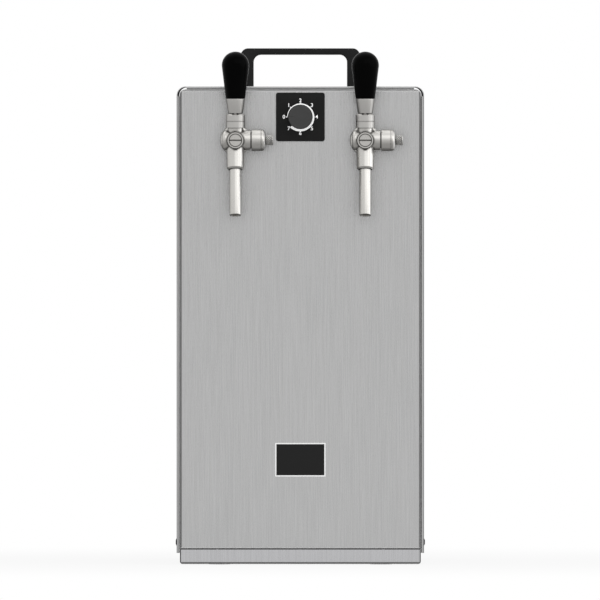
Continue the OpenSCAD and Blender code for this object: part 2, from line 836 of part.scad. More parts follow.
// Room for the lever's finger, which swings back from the pivot as the lever comes forward
module finger_slot() {
  half = finger_r + 0.8;
  reach = tan(lever_swing);
  side = finger_r / cos(lever_swing) + 0.6;
  top = bonnet_foot + cut;
  prism_x(-half, half)
    polygon([[-side, 0], [pivot_h * reach + side, 0], [(pivot_h - 4) * reach + side, 4],
             [(pivot_h - top) * reach + side, top], [-side, top]]);
}

module tap_shanks() {
  color("silver") for (s = [-1, 1]) at_tap(s) difference() {
    rod_y(shank_start, shank_end, shank_r);
    rod_y(shank_start - cut, shank_end + cut, beer_r - 1);
  }
}

module tap_escutcheons() {
  edge = 1.2;
  color("silver") for (s = [-1, 1]) at_tap(s) difference() {
    union() {
      rod_y(rear_len + edge, tap_offset, escutcheon_r);
      translate([0, rear_len, 0]) rotate([-90, 0, 0]) cylinder(h = edge, r1 = escutcheon_r - edge, r2 = escutcheon_r);
    }
    rod_y(rear_len - cut, tap_offset + cut, shank_r + run_gap);
  }
}

module shank_nuts() {
  start = tap_offset + panel_sheet;
  color("silver") for (s = [-1, 1]) at_tap(s) difference() {
    translate([0, start, 0]) rotate([-90, 0, 0]) cylinder(h = shank_nut_t, r = shank_r + 6, $fn = 6);
    rod_y(start - cut, start + shank_nut_t + cut, shank_r + run_gap);
  }
}

module front_plugs() {
  color("silver") for (s = [-1, 1]) at_tap(s) difference() {
    rod_y(-boss_len - 0.4, -boss_len + plug_len, plug_r);
    box([-plug_r - cut, -boss_len - 0.4 - cut, -plug_slot / 2], [plug_r + cut, -boss_len + 1, plug_slot / 2]);
  }
}

module bonnet(side) {
  lean = lever_swing;
  front_low = -slot_half * [cos(lean), sin(lean)];
  front_high = front_low + (dome_r + cut) * [-sin(lean), cos(lean)];
  color("silver") at_tap(side) difference() {
    intersection() {
      rod_z(bonnet_foot, pivot_h + dome_r + cut, bonnet_r);
      translate([0, 0, pivot_h]) sphere(dome_r);
    }
    translate([0, 0, pivot_h]) sphere(ball_r + run_gap);
    rod_z(bonnet_foot - cut, pivot_h, ball_r + run_gap);
    translate([0, 0, pivot_h]) prism_x(-slot_half, slot_half)
      polygon([[slot_half, front_low.y], [slot_half, dome_r + cut], [front_high.x, dome_r + cut],
               front_high, front_low]);
    difference() {
      rod_z(groove_h, groove_h + groove_w, bonnet_r + cut);
      rod_z(groove_h - cut, groove_h + groove_w + cut, bonnet_r - 0.4);
    }
  }
}

module spout(side) {
  color("whitesmoke") at_tap(side) down_spout() difference() {
    union() {
      rod_z(outlet_len, spout_len, spout_r);
      rod_z(outlet_len - spigot_len, outlet_len, spigot_r);
    }
    rod_z(outlet_len - spigot_len - cut, spout_len + cut, spout_bore_r);
  }
}

module flow_cap(side) {
  color("whitesmoke") at_tap(side) difference() {
    union() {
      rod_x(barrel_right, cap_start, cap_neck_r);
      translate([cap_start, 0, 0]) rotate([0, 90, 0]) rotate_extrude()
        round_rect([0, 0], [cap_r, cap_len], [0, 0, cap_round, 0]);
    }
    rod_x(barrel_right - cut, cap_end + cut, spindle_r + run_gap);
  }
}

module flow_adjuster(side) {
  edge = 0.6;
  head = cap_end + adjuster_gap;
  color("gainsboro") at_tap(side) {
    rod_x(head, adjuster_end - edge, adjuster_r);
    translate([adjuster_end - edge, 0, 0]) rotate([0, 90, 0]) cylinder(h = edge, r1 = adjuster_r, r2 = adjuster_r - edge);
    rod_x(cone_start, head, spindle_r);
  }
}

module flow_cone(side) {
  color("gainsboro") at_tap(side) difference() {
    translate([cone_start, 0, 0]) rotate([0, 90, 0])
      cylinder(h = cone_len, r1 = cone_bore_r - 2, r2 = cone_bore_r - run_gap);
    rod_x(cone_start - cut, cone_start + cone_len + cut, spindle_r + run_gap);
  }
}

module valve_piston(side) {
  flare_r = finger_r / cos(lever_swing) + piston_r * tan(lever_swing) + 0.4;
  color("gainsboro") at_tap(side) difference() {
    rod_y(-piston_front, piston_len - piston_front, piston_r);
    rod_z(-finger_ball_r - 1, piston_r + cut, finger_hole_r);
    translate([0, 0, 0.5]) cylinder(h = piston_r, r1 = finger_hole_r, r2 = flare_r);
  }
}

module lever_stem(side) {
  color("gainsboro") at_tap(side) {
    translate([0, 0, pivot_h]) sphere(ball_r);
    sphere(finger_ball_r);
    rod_z(0, pivot_h, finger_r);
    rod_z(pivot_h, stem_top, stem_r);
  }
}

module lever_ferrule(side) {
  reach = dome_r + ferrule_gap;
  foot = pivot_h + sqrt(reach * reach - ferrule_r_low * ferrule_r_low);
  color("silver") at_tap(side) difference() {
    translate([0, 0, foot]) cylinder(h = ferrule_top - foot, r1 = ferrule_r_low, r2 = ferrule_r_top);
    translate([0, 0, pivot_h]) sphere(reach);
    rod_z(pivot_h, ferrule_top + cut, stem_r + run_gap);
  }
}

// The grip's half outline: a bulb with a straight taper that leaves it at a tangent
module lever_grip(side) {
  foot = [grip_r_low, ferrule_top - grip_centre];
  meet = atan2(foot.y, foot.x) + acos(grip_r / norm(foot));
  color("#0a0a0a") at_tap(side) difference() {
    translate([0, 0, grip_centre]) rotate_extrude() intersection() {
      union() {
        circle(grip_r);
        polygon([[0, foot.y], foot, grip_r * [cos(meet), sin(meet)], [0, 0]]);
      }
      translate([0, foot.y]) square([grip_r + cut, grip_r - foot.y + cut]);
    }
    rod_z(ferrule_top - cut, stem_top + 1, stem_r + run_gap);
  }
}

// Cooling

module shelf() {
  low = shelf_z - shelf_sheet;
  window = 16;
  color("lightgray") difference() {
    union() {
      box([-shelf_leg_x, foam_y0, low], [shelf_leg_x, foam_y1, shelf_z]);
      for (s = [-1, 1])
        translate([s * (shelf_leg_x - shelf_sheet / 2), (foam_y0 + foam_y1) / 2, (floor_z + shelf_z) / 2])
          cube([shelf_sheet, foam_y1 - foam_y0, shelf_z - floor_z], center = true);
    }
    box([-cover_x, foam_y0 + window, tray_wall_h + 4], [cover_x, foam_y1 - window, low - window]);
    line_holes(low - cut, shelf_z + cut);
  }
}

// Holes for the lines that rise through the shelf and the insulation's floor
module line_holes(z0, z1) {
  for (s = [-1, 1]) translate([s * inlet_x, inlet_up_y, 0]) rod_z(z0, z1, beer_r + hole_gap);
  translate([suction_x, suction_y, 0]) rod_z(z0, z1, suction_r + hole_gap);
  translate([capillary_x, capillary_y, 0]) rod_z(z0, z1, capillary_r + hole_gap);
}

module insulation_shell() {
  gap = seat_gap;
  color("white") difference() {
    box([-foam_x, foam_y0, shelf_z], [foam_x, foam_y1, lid_z]);
    box([-block_w / 2 - gap, block_y0 - gap, block_z0], [block_w / 2 + gap, block_y1 + gap, lid_z + cut]);
    line_holes(shelf_z - cut, block_z0 + cut);
  }
}

module insulation_lid() {
  color("white") difference() {
    box([-foam_x, foam_y0, lid_z], [foam_x, foam_y1, lid_top]);
    for (s = [-1, 1])
      translate([s * tap_x, outlet_down_y, 0]) rod_z(lid_z - cut, lid_top + cut, beer_r + hole_gap);
    translate([sensor_x, sensor_y, 0]) rod_z(lid_z - cut, lid_top + cut, sensor_bulb_r + hole_gap);
  }
}

module cooling_block() {
  color("lightgray") difference() {
    box([-block_w / 2, block_y0, block_z0], [block_w / 2, block_y1, block_z1]);
    translate([sensor_x, sensor_y, 0]) rod_z(block_z1 - 40, block_z1 + cut, sensor_bulb_r + hole_gap);
  }
}

module drink_lines() {
  color("whitesmoke") for (s = [-1, 1]) {
    pipe([[s * tap_x, tap_y + shank_end, tap_z], [s * tap_x, outlet_down_y, tap_z],
          [s * tap_x, outlet_down_y, block_z1]], beer_r, 20);
    pipe([[s * inlet_x, rear_y - fitting_inside, inlet_z], [s * inlet_x, inlet_up_y, inlet_z],
          [s * inlet_x, inlet_up_y, block_z0]], beer_r, 16);
  }
}

module inlet_fittings() {
  ring = 3;
  color("#303030") for (s = [-1, 1]) translate([s * inlet_x, rear_y, inlet_z]) difference() {
    union() {
      rod_y(0, inlet_reach - ring, inlet_r);
      rod_y(inlet_reach - ring, inlet_reach, inlet_r - 1.5);
      rod_y(-fitting_inside, 0, fitting_sleeve_r);
      rod_y(-panel_sheet - 6, -panel_sheet, inlet_r + 1.5);
    }
    rod_y(inlet_reach - inlet_depth, inlet_reach + cut, inlet_bore_r);
    rod_y(-fitting_inside - cut, inlet_reach, beer_r - 1);
  }
}

module compressor() {
  r = compressor_round;
  color("#1c1c1c") translate([0, compressor_y, 0]) difference() {
    union() {
      translate([0, 0, compressor_z0]) rotate_extrude()
        round_rect([0, 0], [compressor_r, compressor_h], [0, r, r, 0]);
      box([-foot_bolt_x - foot_margin, -foot_bolt_y - foot_margin, plate_z],
          [foot_bolt_x + foot_margin, foot_bolt_y + foot_margin, plate_z + plate_t]);
      rod_z(plate_z, compressor_z0 + r, compressor_r - r);
      translate([suction_x, 0, suction_z]) rod_y(suction_stub_y - compressor_y, 0, suction_r);
      translate([0, 0, discharge_z]) rod_x(0, discharge_stub_x, copper_r);
    }
    for (sx = [-1, 1], sy = [-1, 1])
      translate([sx * foot_bolt_x, sy * foot_bolt_y, 0]) rod_z(plate_z - cut, plate_z + plate_t + cut, bolt_r + hole_gap);
  }
}

module terminal_cover() {
  w = terminal_w / 2;
  h = terminal_h / 2;
  mid = compressor_z0 + compressor_h / 2;
  color("#101010") translate([0, compressor_y, 0]) difference() {
    box([-compressor_r - terminal_d, -w, mid - h], [-compressor_r / 2, w, mid + h]);
    rod_z(mid - h - cut, mid + h + cut, compressor_r + seat_gap);
  }
}

module compressor_mounts() {
  color("dimgray") at_compressor_bolts() difference() {
    rod_z(floor_z, plate_z, mount_r);
    rod_z(floor_z - cut, plate_z + cut, bolt_r + hole_gap);
  }
}

module compressor_bolts() {
  head = plate_z + plate_t;
  color("darkgray") at_compressor_bolts() {
    rod_z(tray_z, head, bolt_r);
    translate([0, 0, head]) cylinder(h = 4, r = bolt_r + 3, $fn = 6);
  }
}

module condenser_rows(r) {
  for (i = [0:tube_rows - 1])
    translate([0, condenser_y, row_z0 + i * tube_pitch]) rod_x(-condenser_x - 10, condenser_x + 10, r);
}

module condenser_fins() {
  step = 2 * (condenser_x - 4) / (fin_count - 1);
  color("gainsboro") difference() {
    union() {
      for (i = [0:fin_count - 1])
        translate([-condenser_x + 4 + i * step - fin_t / 2, condenser_y0, condenser_z0])
          cube([fin_t, condenser_d, condenser_z1 - condenser_z0]);
      for (s = [-1, 1])
        translate([s * (condenser_x + end_plate_t / 2), condenser_y, (floor_z + condenser_z1) / 2])
          cube([end_plate_t, condenser_d, condenser_z1 - floor_z], center = true);
    }
    condenser_rows(copper_r + run_gap);
  }
}

// The tube winds down from the top right, ends at the lower left and drops to the filter drier
function row_points(i) =
  let (z = row_z1 - i * tube_pitch, s = i % 2 == 0 ? 1 : -1)
    [[i == 0 ? tube_end_x : s * pipe_out_x, condenser_y, z], [-s * pipe_out_x, condenser_y, z]];

module condenser_tube() {
  winding = [for (i = [0:tube_rows - 1]) each row_points(i)];
  drop = [[-pipe_out_x, condenser_y, drier_z1]];
  color("peru") pipe(concat(winding, drop), copper_r, tube_pitch / 2);
}

module copper_lines() {
  top = row_z1;
  leave = [discharge_stub_x, compressor_y, discharge_z];
  color("peru") {
    pipe([[suction_x, suction_y, block_z0], [suction_x, suction_y, suction_z],
          [suction_x, suction_stub_y, suction_z]], suction_r, pipe_bend);
    pipe([leave, [pipe_out_x, leave.y, leave.z], [pipe_out_x, leave.y, top],
          [pipe_out_x, condenser_y, top], [tube_end_x, condenser_y, top]], copper_r, pipe_bend);
  }
}

module filter_drier() {
  color("peru") translate([-pipe_out_x, condenser_y, 0]) rod_z(drier_z0, drier_z1, drier_r);
}

module capillary_tube() {
  color("peru")
    pipe([[-pipe_out_x, condenser_y, drier_z0], [-pipe_out_x, condenser_y, capillary_z],
          [-pipe_out_x, capillary_y, capillary_z], [capillary_x, capillary_y, capillary_z],
          [capillary_x, capillary_y, block_z0]], capillary_r, capillary_bend);
}

module fan_shroud() {
  plate_x = condenser_x + end_plate_t;
  color("#303030") difference() {
    union() {
      box([-plate_x, shroud_y0, condenser_z0], [plate_x, condenser_y0, condenser_z1]);
      translate([0, 0, fan_z]) rod_y(ring_y0, condenser_y0, ring_r + ring_t);
      for (a = [45, 135])
        translate([0, ring_y0 - spider_t / 2, fan_z]) rotate([0, a, 0])
          cube([2 * (ring_r + ring_t), spider_t, spider_w], center = true);
      translate([0, 0, fan_z]) rod_y(ring_y0 - spider_t, ring_y0, motor_r);
    }
    translate([0, 0, fan_z]) {
      rod_y(ring_y0, condenser_y0 + cut, ring_r);
      rod_y(ring_y0 - spider_t - cut, ring_y0 + cut, fan_shaft_r + 3);
    }
  }
}

module fan_motor() {
  color("dimgray") translate([0, 0, fan_z]) difference() {
    rod_y(motor_y1 - motor_len, motor_y1, motor_r);
    rod_y(motor_y1 - motor_len + 6, motor_y1 + cut, fan_shaft_r + run_gap);
  }
}

module fan_rotor() {
  chord = (fan_y1 - fan_y0) / sin(30) - 6;
  mid = (fan_y0 + fan_y1) / 2;
  color("gray") translate([0, 0, fan_z]) {
    rod_y(fan_y0, fan_y1, fan_hub_r);
    rod_y(motor_y1 - motor_len + 8, fan_y0, fan_shaft_r);
    intersection() {
      for (i = [0:fan_blades_n - 1])
        rotate([0, i * 360 / fan_blades_n, 0]) translate([fan_hub_r - 2, mid, 0]) rotate([30, 0, 0])
          translate([0, -1, -chord / 2]) cube([fan_r, 2, chord]);
      rod_y(fan_y0, fan_y1, fan_r);
    }
  }
}

module cable_gland() {
  color("#181818") translate([gland_x, rear_y, gland_z]) difference() {
    union() {
      rod_y(0, gland_reach - 5, gland_r + 1.5);
      translate([0, gland_reach - 5, 0]) rotate([-90, 0, 0]) cylinder(h = 5, r1 = gland_r, r2 = gland_r - 2.5);
      rod_y(-panel_sheet - gland_inside, 0, gland_sleeve_r);
      translate([0, -panel_sheet - gland_inside + 1, 0]) rotate([-90, 0, 0])
        cylinder(h = gland_inside - 1, r = gland_r + 2, $fn = 6);
    }
    rod_y(-panel_sheet - gland_inside - cut, gland_reach + cut, gland_bore_r);
  }
}

base_tray();
rubber_feet();
front_panel();
rear_panel();
cover();
cover_rivet_nuts();
cover_screws();
panel_screws();
carry_handle();
handle_screws();
name_plate();
dial_plate();
thermostat_body();
thermostat_nut();
thermostat_shaft();
thermostat_knob();
sensor_capillary();
tap_escutcheons();
shank_nuts();
front_plugs();
tap_body(-1);  // tap_body_left
tap_body(1);  // tap_body_right
tap_shanks();
bonnet(-1);  // bonnet_left
bonnet(1);  // bonnet_right
spout(-1);  // spout_left
spout(1);  // spout_right
flow_cap(-1);  // flow_cap_left
flow_cap(1);  // flow_cap_right
flow_adjuster(-1);  // flow_adjuster_left
flow_adjuster(1);  // flow_adjuster_right
flow_cone(-1);  // flow_cone_left
flow_cone(1);  // flow_cone_right
valve_piston(-1);  // valve_piston_left
valve_piston(1);  // valve_piston_right
lever_stem(-1);  // lever_stem_left
lever_stem(1);  // lever_stem_right
lever_ferrule(-1);  // lever_ferrule_left
lever_ferrule(1);  // lever_ferrule_right
lever_grip(-1);  // lever_grip_left
lever_grip(1);  // lever_grip_right
shelf();
insulation_shell();
insulation_lid();
cooling_block();
drink_lines();
inlet_fittings();
compressor();
terminal_cover();
compressor_mounts();
compressor_bolts();
condenser_fins();
condenser_tube();
fan_shroud();
fan_motor();
fan_rotor();
copper_lines();
filter_drier();
capillary_tube();
cable_gland();
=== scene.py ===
import math
import bmesh
import bpy
import numpy as np
from mathutils import Matrix, Vector


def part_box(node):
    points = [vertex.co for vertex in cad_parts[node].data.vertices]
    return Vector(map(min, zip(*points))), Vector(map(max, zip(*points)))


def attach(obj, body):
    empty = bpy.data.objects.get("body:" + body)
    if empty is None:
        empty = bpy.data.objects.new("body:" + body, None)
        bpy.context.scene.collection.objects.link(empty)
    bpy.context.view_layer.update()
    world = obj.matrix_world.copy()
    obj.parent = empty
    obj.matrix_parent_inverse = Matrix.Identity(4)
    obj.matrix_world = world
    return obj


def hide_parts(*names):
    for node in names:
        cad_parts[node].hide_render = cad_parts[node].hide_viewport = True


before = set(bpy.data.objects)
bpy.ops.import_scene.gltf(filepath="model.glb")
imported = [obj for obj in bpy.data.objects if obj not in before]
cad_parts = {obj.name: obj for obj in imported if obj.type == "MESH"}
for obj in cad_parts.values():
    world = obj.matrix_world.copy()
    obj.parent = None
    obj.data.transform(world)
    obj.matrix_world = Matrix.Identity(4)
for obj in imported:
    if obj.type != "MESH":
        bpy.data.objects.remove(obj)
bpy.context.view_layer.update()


# Base tray: a shallow pan folded from 1.2 mm stainless sheet, brushed on the outside.
# It carries all the rest. Its lip shows below the front panel, with a fine dark seam at
# each folded corner, and its walls take the cover's screws.

class Wire:
    """One socket in a finish's nodes. Sums, products and powers of wires and numbers add Math nodes."""

    def __init__(self, tree, socket=None):
        self.tree, self.socket = tree, socket

    def node(self, kind, settings=(), out=0, **sockets):
        """Adds a node and gives the wire from the output numbered out. Its settings go first, then
        a value or a link for each socket, by name or numbered i0, i1 and so on."""
        made = self.tree.nodes.new("ShaderNode" + kind)
        for key, value in dict(settings).items():
            setattr(made, key, value)
        for key, value in sockets.items():
            socket = made.inputs[int(key[1:]) if key[1:].isdigit() else key.replace("_", " ")]
            if isinstance(value, Wire):
                self.tree.links.new(value.socket, socket)
            else:
                socket.default_value = value
        return Wire(self.tree, made.outputs[out])

    def maths(self, operation, *values):
        """The result of a Math node on wires and numbers."""
        return self.node("Math", {"operation": operation}, **{f"i{k}": v for k, v in enumerate(values)})

    def __add__(self, other):
        return self.maths("ADD", self, other)

    def __sub__(self, other):
        return self.maths("SUBTRACT", self, other)

    def __rsub__(self, other):
        return self.maths("SUBTRACT", other, self)

    def __mul__(self, other):
        return self.maths("MULTIPLY", self, other)

    def __pow__(self, other):
        return self.maths("POWER", self, other)

    def __rpow__(self, other):
        return self.maths("POWER", other, self)

    def __abs__(self):
        return self.maths("ABSOLUTE", self)

    __radd__, __rmul__ = __add__, __mul__

    def rise(self, low, high):
        """0 up to low, 1 from high on, and a smooth step between them."""
        return self.node("MapRange", {"interpolation_type": "SMOOTHSTEP"}, i0=self, i1=low, i2=high)

    def xyz(self, vector):
        """The three coordinates of a vector."""
        return [self.node("SeparateXYZ", out=k, Vector=vector) for k in range(3)]

    def facing(self):
        """The three coordinates of the surface's direction."""
        return self.xyz(self.node("NewGeometry", out=1))

    def grain(self, spot, size, detail=3.0, stretch=(1.0, 1.0, 1.0)):
        """Noise from 0 to 1, size blotches to the metre, drawn out along the axes whose stretch is small."""
        at = self.node("Mapping", Vector=spot, Scale=tuple(size * s for s in stretch))
        return self.node("TexNoise", Vector=at, Scale=1.0, Detail=detail, Roughness=0.55)

    def between(self, share, low, high):
        """A colour on the way from low to high."""
        return self.node("Mix", {"data_type": "RGBA"}, out=2, i0=share, i6=low, i7=high)


def new_finish(name, **constants):
    """A material, its wires, and where a point lies on the piece. Constants go to the shader's sockets."""
    made = bpy.data.materials.new(name)
    made.use_nodes = True
    for key, value in constants.items():
        made.node_tree.nodes["Principled BSDF"].inputs[key.replace("_", " ")].default_value = value
    wire = Wire(made.node_tree)
    return made, wire, wire.node("TexCoord", out=3)


def feed(made, colour, rough, height=None, depth=0.0, edge=0.0):
    """Links colour, roughness, a bump depth metres deep, and edges that look rounded by edge metres."""
    wire, shader = Wire(made.node_tree), made.node_tree.nodes["Principled BSDF"]
    made.node_tree.links.new(colour.socket, shader.inputs["Base Color"])
    made.node_tree.links.new(rough.socket, shader.inputs["Roughness"])
    worn = {"Normal": wire.node("Bevel", {"samples": 4}, Radius=edge)} if edge else {}
    if height:
        worn["Normal"] = wire.node("Bump", Strength=1.0, Distance=depth, Height=height, **worn)
    if worn:
        made.node_tree.links.new(worn["Normal"].socket, shader.inputs["Normal"])


def satin_steel(name, tone, side=(0.21, 0.50), under=(0.70, 0.22), seam=None):
    """Brushed sheet: noise drawn out up the walls, or across where the sheet lies flat, shifts tone,
    gloss and surface. The bends at the front and rear edges are matt, and their colour is painted shade:
    each has a painted tone beside the flat and one further round, side for upright bends, under for those
    that face down, and paler ones, as painted light, for those that face up. Folded corners that meet at
    the distance seam from the middle show a dark line there, in front and behind."""
    over, seam_dark, brush, drawn_out = (0.45, 0.75), (0.02, 0.02, 0.02, 1), 2600.0, 0.008
    made, wire, spot = new_finish(name, Specular_Tint=(0.7, 0.7, 0.7, 1))
    _, into, rising = wire.facing()
    into = abs(into)
    lies_flat, above, below = abs(rising).rise(0.6, 0.8), rising.rise(0.05, 0.35), rising.rise(-0.05, -0.35)
    unbent = 1.0 - into.rise(0.04, 0.14) * (1.0 - into.rise(0.93, 0.99))
    upright = wire.grain(spot, brush, 4.0, (1.0, 1.0, drawn_out))
    lying = wire.grain(spot, brush, 4.0, (drawn_out, 1.0, 1.0))
    scratch = (upright + (lying - upright) * lies_flat).rise(0.28, 0.72)
    handled = wire.grain(spot, 9.0, 4.0)
    dark, light = (tuple(c * k for c in tone) + (1.0,) for k in (0.90, 1.10))
    brushed = wire.between(scratch * 0.75 + handled * 0.25, dark, light)
    # Painted shade and light: the bends take tones that stand in for how light falls on them, paler where
    # they face up.
    beside, around = (s + above * (o - s) + below * (u - s) for s, o, u in zip(side, over, under))
    painted_bend_shade = around + (beside - around) * into.rise(0.35, 0.85)
    colour = wire.between(unbent, painted_bend_shade, brushed)
    if seam:
        from_middle = abs(wire.xyz(spot)[0])
        in_seam = from_middle.rise(seam - 0.0013, seam - 0.0007) * into.rise(0.8, 0.95)
        colour = wire.between(in_seam, colour, seam_dark)
    feed(made, colour, 0.46 - unbent * 0.24 + scratch * 0.06 + handled * 0.05, scratch, 0.000006)
    bare_metal = 0.12 + unbent * 0.88
    made.node_tree.links.new(bare_metal.socket, made.node_tree.nodes["Principled BSDF"].inputs["Metallic"])
    return made


def dress(made, *names):
    """Gives CAD nodes this finish."""
    for name in names:
        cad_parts[name].data.materials.clear()
        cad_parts[name].data.materials.append(made)


tray_tone, tray_half = (0.485, 0.485, 0.495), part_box("base_tray")[1].x
# The tray's bends are painted dark, nearly black beside the flat, as painted shade lines along the lip's
# sides and foot.
dress(satin_steel("tray_steel", tray_tone, (0.03, 0.10), (0.12, 0.60), tray_half), "base_tray")


# Rubber feet: four moulded buttons pushed through the tray's floor, each held by its own groove.
# Black rubber with a dusty bloom. The compressor's four mounts are of the same rubber.
clean_rubber, dusty_rubber = (0.012, 0.012, 0.012, 1), (0.034, 0.033, 0.032, 1)
rubber, wire, spot = new_finish("foot_rubber", Specular_IOR_Level=0.25)
bloom = wire.grain(spot, 260.0, 5.0)
feed(rubber, wire.between(bloom, clean_rubber, dusty_rubber), 0.72 + bloom * 0.2, bloom, 0.00008)
dress(rubber, "rubber_feet", "compressor_mounts")


# Compressor: a drawn steel shell in black enamel on a foot plate, bolted to the tray over rubber mounts.
# Its terminals sit under a clipped plastic cover, moulded like the fan's shroud.
# The bolts are zinc plated, as the cabinet's other hidden fasteners are.
clean_enamel, dusty_enamel = (0.008, 0.008, 0.009, 1), (0.022, 0.021, 0.020, 1)
enamel, wire, spot = new_finish("compressor_enamel", Specular_IOR_Level=0.5)
peel, dust = wire.grain(spot, 420.0, 2.0), wire.grain(spot, 30.0, 5.0)
feed(enamel, wire.between(dust, clean_enamel, dusty_enamel), 0.22 + dust * 0.25, peel, 0.00012)
dress(enamel, "compressor")

fresh_black, rubbed_black = (0.010, 0.010, 0.010, 1), (0.026, 0.026, 0.027, 1)
moulding, wire, spot = new_finish("black_moulding", Specular_IOR_Level=0.35)
spark, rub_and_highlight = wire.grain(spot, 2600.0, 3.0), wire.grain(spot, 45.0, 4.0)
feed(moulding, wire.between(rub_and_highlight, fresh_black, rubbed_black), 0.46 + spark * 0.18, spark, 0.00003, 0.0003)
dress(moulding, "terminal_cover", "fan_shroud", "fan_motor", "fan_rotor")

blue_zinc, white_zinc = (0.40, 0.41, 0.44, 1), (0.60, 0.60, 0.61, 1)
zinc, wire, spot = new_finish("zinc_plate", Metallic=1.0)
spangle = wire.node("TexVoronoi", Vector=spot, Scale=420.0)
haze = wire.grain(spot, 90.0, 4.0)
plated = wire.between(spangle * 0.7 + haze * 0.5, blue_zinc, white_zinc)
feed(zinc, plated, 0.30 + haze * 0.22, haze, 0.00003, 0.0003)
dress(zinc, "compressor_bolts", "cover_rivet_nuts", "panel_screws", "handle_screws",
      "thermostat_nut", "shelf")


# Shelf, insulation and cooling block: a cast aluminium block with the drink and refrigerant coils inside.
# It lies in a moulded foam shell with a foam lid, on a folded shelf of zinc plated sheet.
soiled_foam, clean_foam = (0.74, 0.73, 0.70, 1), (0.86, 0.86, 0.84, 1)
foam, wire, spot = new_finish("bead_foam", Specular_IOR_Level=0.2)
beads = wire.node("TexVoronoi", {"feature": "SMOOTH_F1"}, Vector=spot, Scale=330.0)
soil = wire.grain(spot, 14.0, 5.0)
feed(foam, wire.between(soil, soiled_foam, clean_foam), 0.75 + beads * 0.15, 1.0 - beads, 0.0006)
dress(foam, "insulation_shell", "insulation_lid")

dull_cast, bright_cast = (0.52, 0.52, 0.53, 1), (0.70, 0.70, 0.71, 1)
cast, wire, spot = new_finish("cast_aluminium", Metallic=1.0)
sand, stain = wire.grain(spot, 900.0, 4.0), wire.grain(spot, 40.0, 4.0)
feed(cast, wire.between(stain, dull_cast, bright_cast), 0.36 + sand * 0.2, sand, 0.00006)
dress(cast, "cooling_block")


# Condenser and fan: pressed aluminium fins on a bent copper tube, and in front of them a moulded
# shroud with a motor and a five blade fan, which draws air through the rear panel's slots.
# The end plates stand on the tray. The other refrigerant lines are of the same drawn copper.
dull_fin, bright_fin = (0.50, 0.50, 0.51, 1), (0.66, 0.66, 0.67, 1)
fin, wire, spot = new_finish("fin_aluminium", Metallic=1.0)
rolled = wire.grain(spot, 1500.0, 2.0, (1.0, 1.0, 0.01))
feed(fin, wire.between(rolled, dull_fin, bright_fin), 0.30 + rolled * 0.15, rolled, 0.00001)
dress(fin, "condenser_fins")

bright_copper, brown_copper = (0.72, 0.36, 0.22, 1), (0.36, 0.17, 0.11, 1)
copper, wire, spot = new_finish("drawn_copper", Metallic=1.0)
tarnish, drawn = wire.grain(spot, 55.0, 5.0), wire.grain(spot, 700.0, 3.0)
browned = wire.between(tarnish.rise(0.35, 0.7), bright_copper, brown_copper)
feed(copper, browned, 0.22 + tarnish * 0.3, drawn, 0.00002)
dress(copper, "condenser_tube", "copper_lines", "filter_drier", "capillary_tube", "sensor_capillary")


# Drink lines: food grade tube of milky plastic, cut to length and pushed into its fittings.
# It runs from the inlets to the cooling block, and from there to the tap shanks.
cloudy_tube, clear_tube = (0.68, 0.70, 0.70, 1), (0.80, 0.81, 0.80, 1)
tube, wire, spot = new_finish("drink_tube", Specular_IOR_Level=0.5)
cloud = wire.grain(spot, 120.0, 3.0)
feed(tube, wire.between(cloud, cloudy_tube, clear_tube), 0.28 + cloud * 0.15, cloud, 0.00004)
dress(tube, "drink_lines")


# Rear panel: a pan of brushed stainless sheet with two columns of punched cooling slots.
# It is screwed down to the tray's lip, and carries the two drink inlets and the power cable's gland.
panel_tone = 0.456, 0.456, 0.456
dress(satin_steel("rear_steel", panel_tone), "rear_panel")
rear_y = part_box("rear_panel")[1].y * 1000


# Drink inlets: black acetal bulkhead fittings with a fluted sleeve, and a loose collar that grips the
# pushed-in tube. Each passes through the rear panel and is held by a ring nut behind it.

def eased(corners, reach, steps=6):
    """A closed outline with rounded corners. The corner C between the unit directions u and v becomes the
    arc that touches both edges at the distance reach from C: its centre lies along u + v, and its points
    turn by equal angles."""
    c = np.asarray(corners, float)
    d = np.broadcast_to(np.asarray(reach, float), len(c))[:, None]
    u, v = np.roll(c, 1, 0) - c, np.roll(c, -1, 0) - c
    u, v = u / np.linalg.norm(u, axis=1)[:, None], v / np.linalg.norm(v, axis=1)[:, None]
    half = np.sqrt(np.clip((1 + (u * v).sum(1)) / 2, 1e-9, 1))[:, None]
    centre = c + (u + v) / (2 * half) * d / half
    turn = (np.pi - 2 * np.arccos(half))[:, :, None]
    t = np.linspace(0, 1, steps)[None, :, None]
    first, last = (c + d * u - centre)[:, None], (c + d * v - centre)[:, None]
    arms = np.sin((1 - t) * turn) * first + np.sin(t * turn) * last
    return (centre[:, None] + arms / np.sin(turn)).reshape(-1, 2)


def turned(outline, count=96, wave=None):
    """A patch of points: an outline of (radius, height) carried round the Z axis as (r cos a, r sin a, h).
    wave(h, a), where given, is added to the radius. An outline that starts on the axis ends there and is
    left open."""
    a = np.linspace(0, 2 * np.pi, count, endpoint=False)[None]
    r, h = (np.asarray(outline, float)[:, k][:, None] for k in (0, 1))
    wide = np.maximum(r + (wave(h, a) if wave else 0.0 * a), 0.0)
    return np.stack([wide * np.cos(a), wide * np.sin(a), h + 0.0 * a], -1), outline[0][0] > 1e-6, True


def stood(patch, origin, axis, side):
    """The patch with its Z axis along axis and its X axis along side, moved to origin, in millimetres."""
    axis, side = np.array(axis, float), np.array(side, float)
    return (np.array(origin, float) + patch[0] @ np.stack([side, np.cross(axis, side), axis]), *patch[1:])


